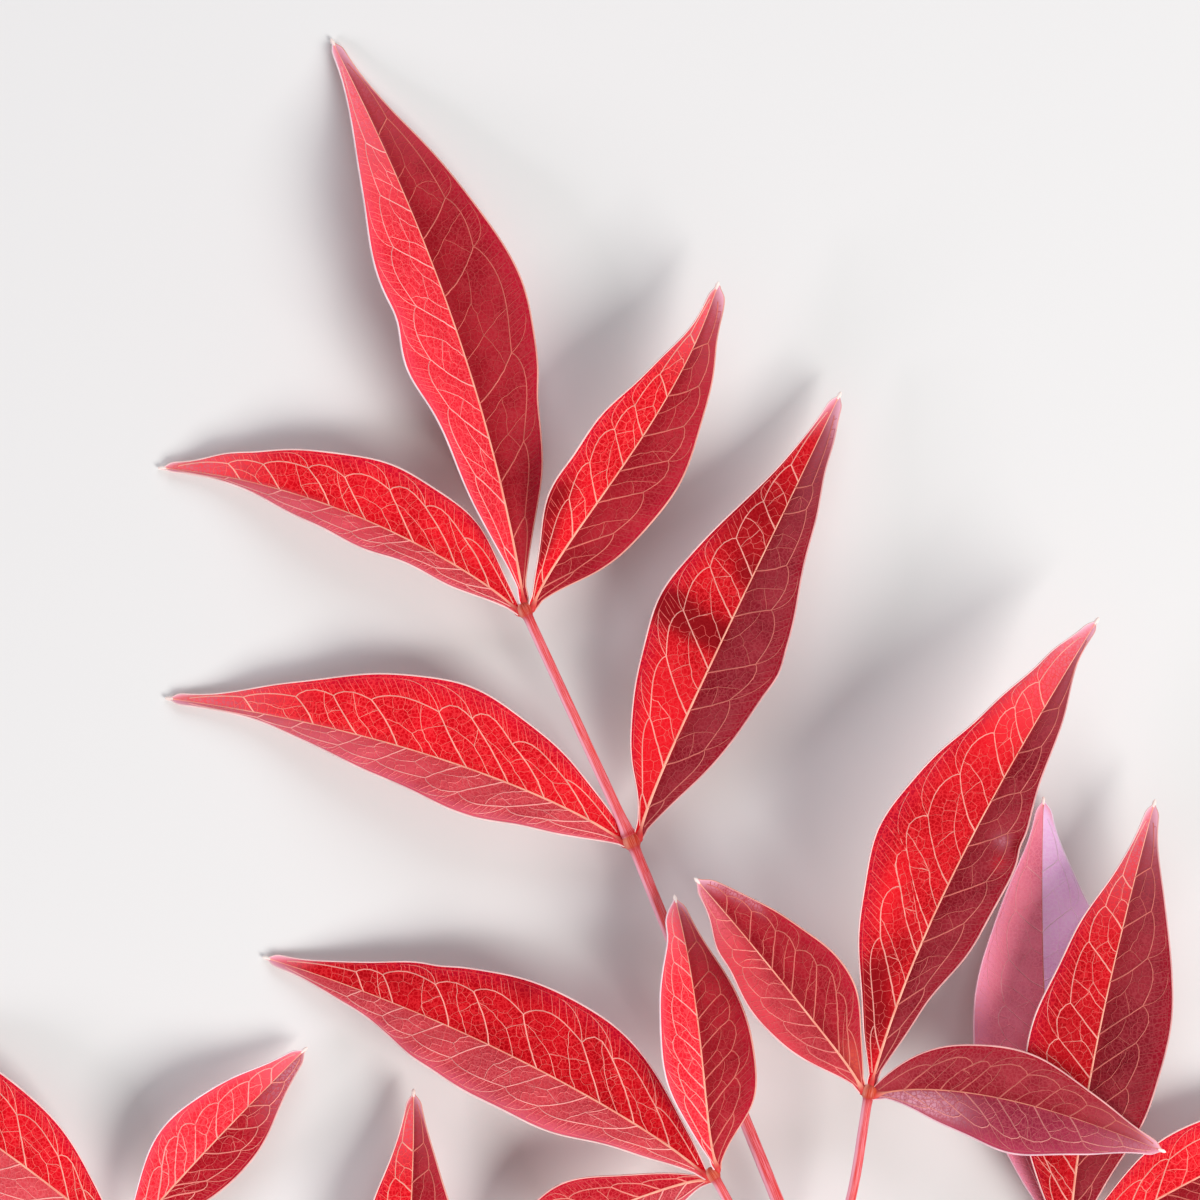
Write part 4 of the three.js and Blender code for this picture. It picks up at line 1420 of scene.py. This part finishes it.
# %% Stalk line and radius
STALK_SIDES = 24
RING_STEP = 0.4  # mm
START_FLARE = (0.32, 2.4)  # how much thicker a stalk starts, and the mm over which it thins
COLLAR = (0.07, 0.95, 0.24)  # mm high, joint radii from the centre, mm long
# The swelling of a joint: radii from its centre along the stalk, and how much of it is there
SWELL_AT = [-1.9, -1.4, -1.1, -0.9, -0.74, -0.58, -0.4, -0.1, 0.15, 0.4, 0.6, 0.75, 0.9, 0.98]
SWELL_SIZE = [0.0, 0.05, 0.14, 0.3, 0.66, 0.92, 0.97, 1.0, 0.98, 0.9, 0.78, 0.62, 0.38, 0.12]


def stalk_line(stalk, distance):
    """Points on a stalk's middle line, straight on past its joint's centre."""
    start, end = joints[stalk.start].point, joints[stalk.joint].point

    def at(share):
        bow = stalk.bow * 4 * share * (1 - share) * (1 + STALK_SKEW * (2 * share - 1))
        return start + (end - start) * share + bow * pointing(stalk.heading + 90)

    way = unit(at(1.0) - at(0.999))
    beyond = np.maximum(distance - stalk.length, 0.0)[:, None]
    line = at(np.minimum(distance / stalk.length, 1.0)[:, None])
    return line + beyond * way


def stalk_radius(stalk, distance, angle):
    """Radius at distances along a stalk and angles round it."""
    swelling = joints[stalk.joint].radius
    plain = np.interp(distance, [0, stalk.length], stalk.radii)
    swell = np.interp((distance - stalk.length) / swelling, SWELL_AT, SWELL_SIZE)
    past = distance > stalk.length
    radius = np.where(past, swelling * swell, plain + (swelling - plain) * swell)
    origin = joints[stalk.start].radius
    if origin > 0:
        radius = radius * (1 + START_FLARE[0] * bump(distance, 0, START_FLARE[1]))
        radius = radius + COLLAR[0] * bump(distance, COLLAR[1] * origin, COLLAR[2])
    radius = radius[:, None]
    ribs = 0.016 * np.sin(5 * angle + 0.05 * distance[:, None]) + 0.01 * np.sin(11 * angle)
    lumps = 0.012 * np.sin(1.1 * distance[:, None] + 2 * angle) * np.sin(0.37 * distance[:, None])
    return radius * (1 + ribs + lumps)


def stalk_crease_shade(stalk, distance):
    """How strong the painted shade is in the crease over the start joint and under the end one."""
    origin = joints[stalk.start].radius
    swelling = joints[stalk.joint].radius
    over = bump(distance, 0.8 * origin, 0.3) * (origin > 0)
    under = np.exp(-np.abs(distance - stalk.length + 0.95 * swelling) / 0.6)
    return 0.8 * over + 0.75 * under


# %% Build the stalks
def build_stalk(stalk):
    """One stalk with its joint, and pale pith where it was cut."""
    swelling = joints[stalk.joint].radius
    reach = stalk.length + 0.98 * swelling
    distance = np.concatenate([np.arange(0, 3, 0.2), np.arange(3, reach, RING_STEP)])
    dense = stalk.length + swelling * np.linspace(-1.2, 0.98, 20)
    distance = np.sort(np.concatenate([distance[distance < dense[0] - 0.1], dense]))
    line = stalk_line(stalk, distance)
    way = unit(np.gradient(line, axis=0))
    side = unit(np.cross(way, UP))
    over = np.cross(side, way)
    angle = 2 * np.pi * np.arange(STALK_SIDES)[None, :] / STALK_SIDES
    radius = stalk_radius(stalk, distance, angle)[..., None]
    rings = ring(line, side, over, STALK_SIDES)
    rings = line[:, None] + radius * (rings - line[:, None])
    finish = np.where(distance[1:] > stalk.length - 0.78 * swelling, 1, 0)
    finish[distance[1:] < 0.7 * joints[stalk.start].radius] = 1
    if stalk.start == "cut":
        shares = np.array([0.12, 0.45, 0.8, 0.95])[:, None, None]
        rings = np.concatenate([line[0] + shares * (rings[0] - line[0]), rings])
        distance = np.concatenate([[0, 0, 0, 0], distance])
        finish = np.concatenate([[2, 2, 2, 0], finish])
    shape = Shape()
    flat = np.linspace(0, 1, STALK_SIDES + 1)
    marks = {"along": distance[:, None] / 30, "across": np.cos(angle)}
    # The tone mark carries the painted shade in the creases.
    marks["tone"] = stalk_crease_shade(stalk, distance)[:, None]
    shape.add_tube(rings, finish[:, None], flat, distance / reach, **marks)
    return make_piece(f"stem_{stalk.joint}", shape, [STALK, KNOT, PITH], f"stalk_{stalk.joint}")


build_all("stems:", build_stalk, STALKS)

# %% [markdown]
# ## Table, light and camera
#
# The spray lies on a plain pale table. A soft lamp low on the right lights the halves that
# are folded up towards it, and a wide cool lamp on the upper left gives the other halves
# their mauve sheen. The camera looks straight down from 0.9 m with a long lens, so nothing
# is drawn out of shape.

# %% Table
TABLE_SIZE = 1.6  # m
TABLE_GAP = 0.0002
table_mesh = bpy.data.meshes.new("table")
half = TABLE_SIZE / 2
table_corners = [(-half, -half, 0), (half, -half, 0), (half, half, 0), (-half, half, 0)]
table_mesh.from_pydata(table_corners, [], [(0, 1, 2, 3)])
table = new_object("table", table_mesh)
table.location.z = -TABLE_GAP
TABLE_PAINT = {"Base_Color": (0.80, 0.80, 0.79, 1.0), "Roughness": 0.8, "Specular_IOR_Level": 0.2}
table_mesh.materials.append(new_finish("table_paint", **TABLE_PAINT)[0])


# %% Lamps
def add_lamp(name, azimuth, elevation, distance, size, watts, colour):
    """A square soft lamp that points at the middle of the spray."""
    data = bpy.data.lights.new(name, "AREA")
    data.size = size
    data.energy = watts
    data.color = colour
    lamp = new_object(name, data)
    tilt = np.radians(elevation)
    lamp.location = Vector(distance * (np.cos(tilt) * pointing(azimuth) + np.sin(tilt) * UP))
    lamp.rotation_euler = lamp.location.to_track_quat("Z", "Y").to_euler()


add_lamp("key_lamp", -42, 42, 1.2, 0.6, 13, (1.0, 0.98, 0.95))
add_lamp("fill_lamp", 80, 40, 1.2, 0.8, 4.5, (0.94, 0.93, 1.0))
add_lamp("side_lamp", 200, 22, 1.2, 0.35, 4.5, (1.0, 0.90, 0.97))
world = bpy.data.worlds.new("soft_room")
world.use_nodes = True
world.node_tree.nodes["Background"].inputs["Color"].default_value = (0.95, 0.97, 1.0, 1.0)
world.node_tree.nodes["Background"].inputs["Strength"].default_value = 0.3
bpy.context.scene.world = world
bpy.context.scene.view_settings.view_transform = "Standard"

# %% Camera
CAMERA_HEIGHT = 0.9  # m over the leaves
LEAF_LEVEL = 0.009  # m
camera_data = bpy.data.cameras.new("camera")
camera_data.sensor_width = 36
camera_data.lens = 225
camera = new_object("camera", camera_data)
camera.location = (SHIFT[0] * MM, SHIFT[1] * MM, LEAF_LEVEL + CAMERA_HEIGHT)
bpy.context.scene.camera = camera
picture_width = camera_data.sensor_width / camera_data.lens * CAMERA_HEIGHT
print("picture width at the leaves in mm:", round(picture_width / MM, 1))
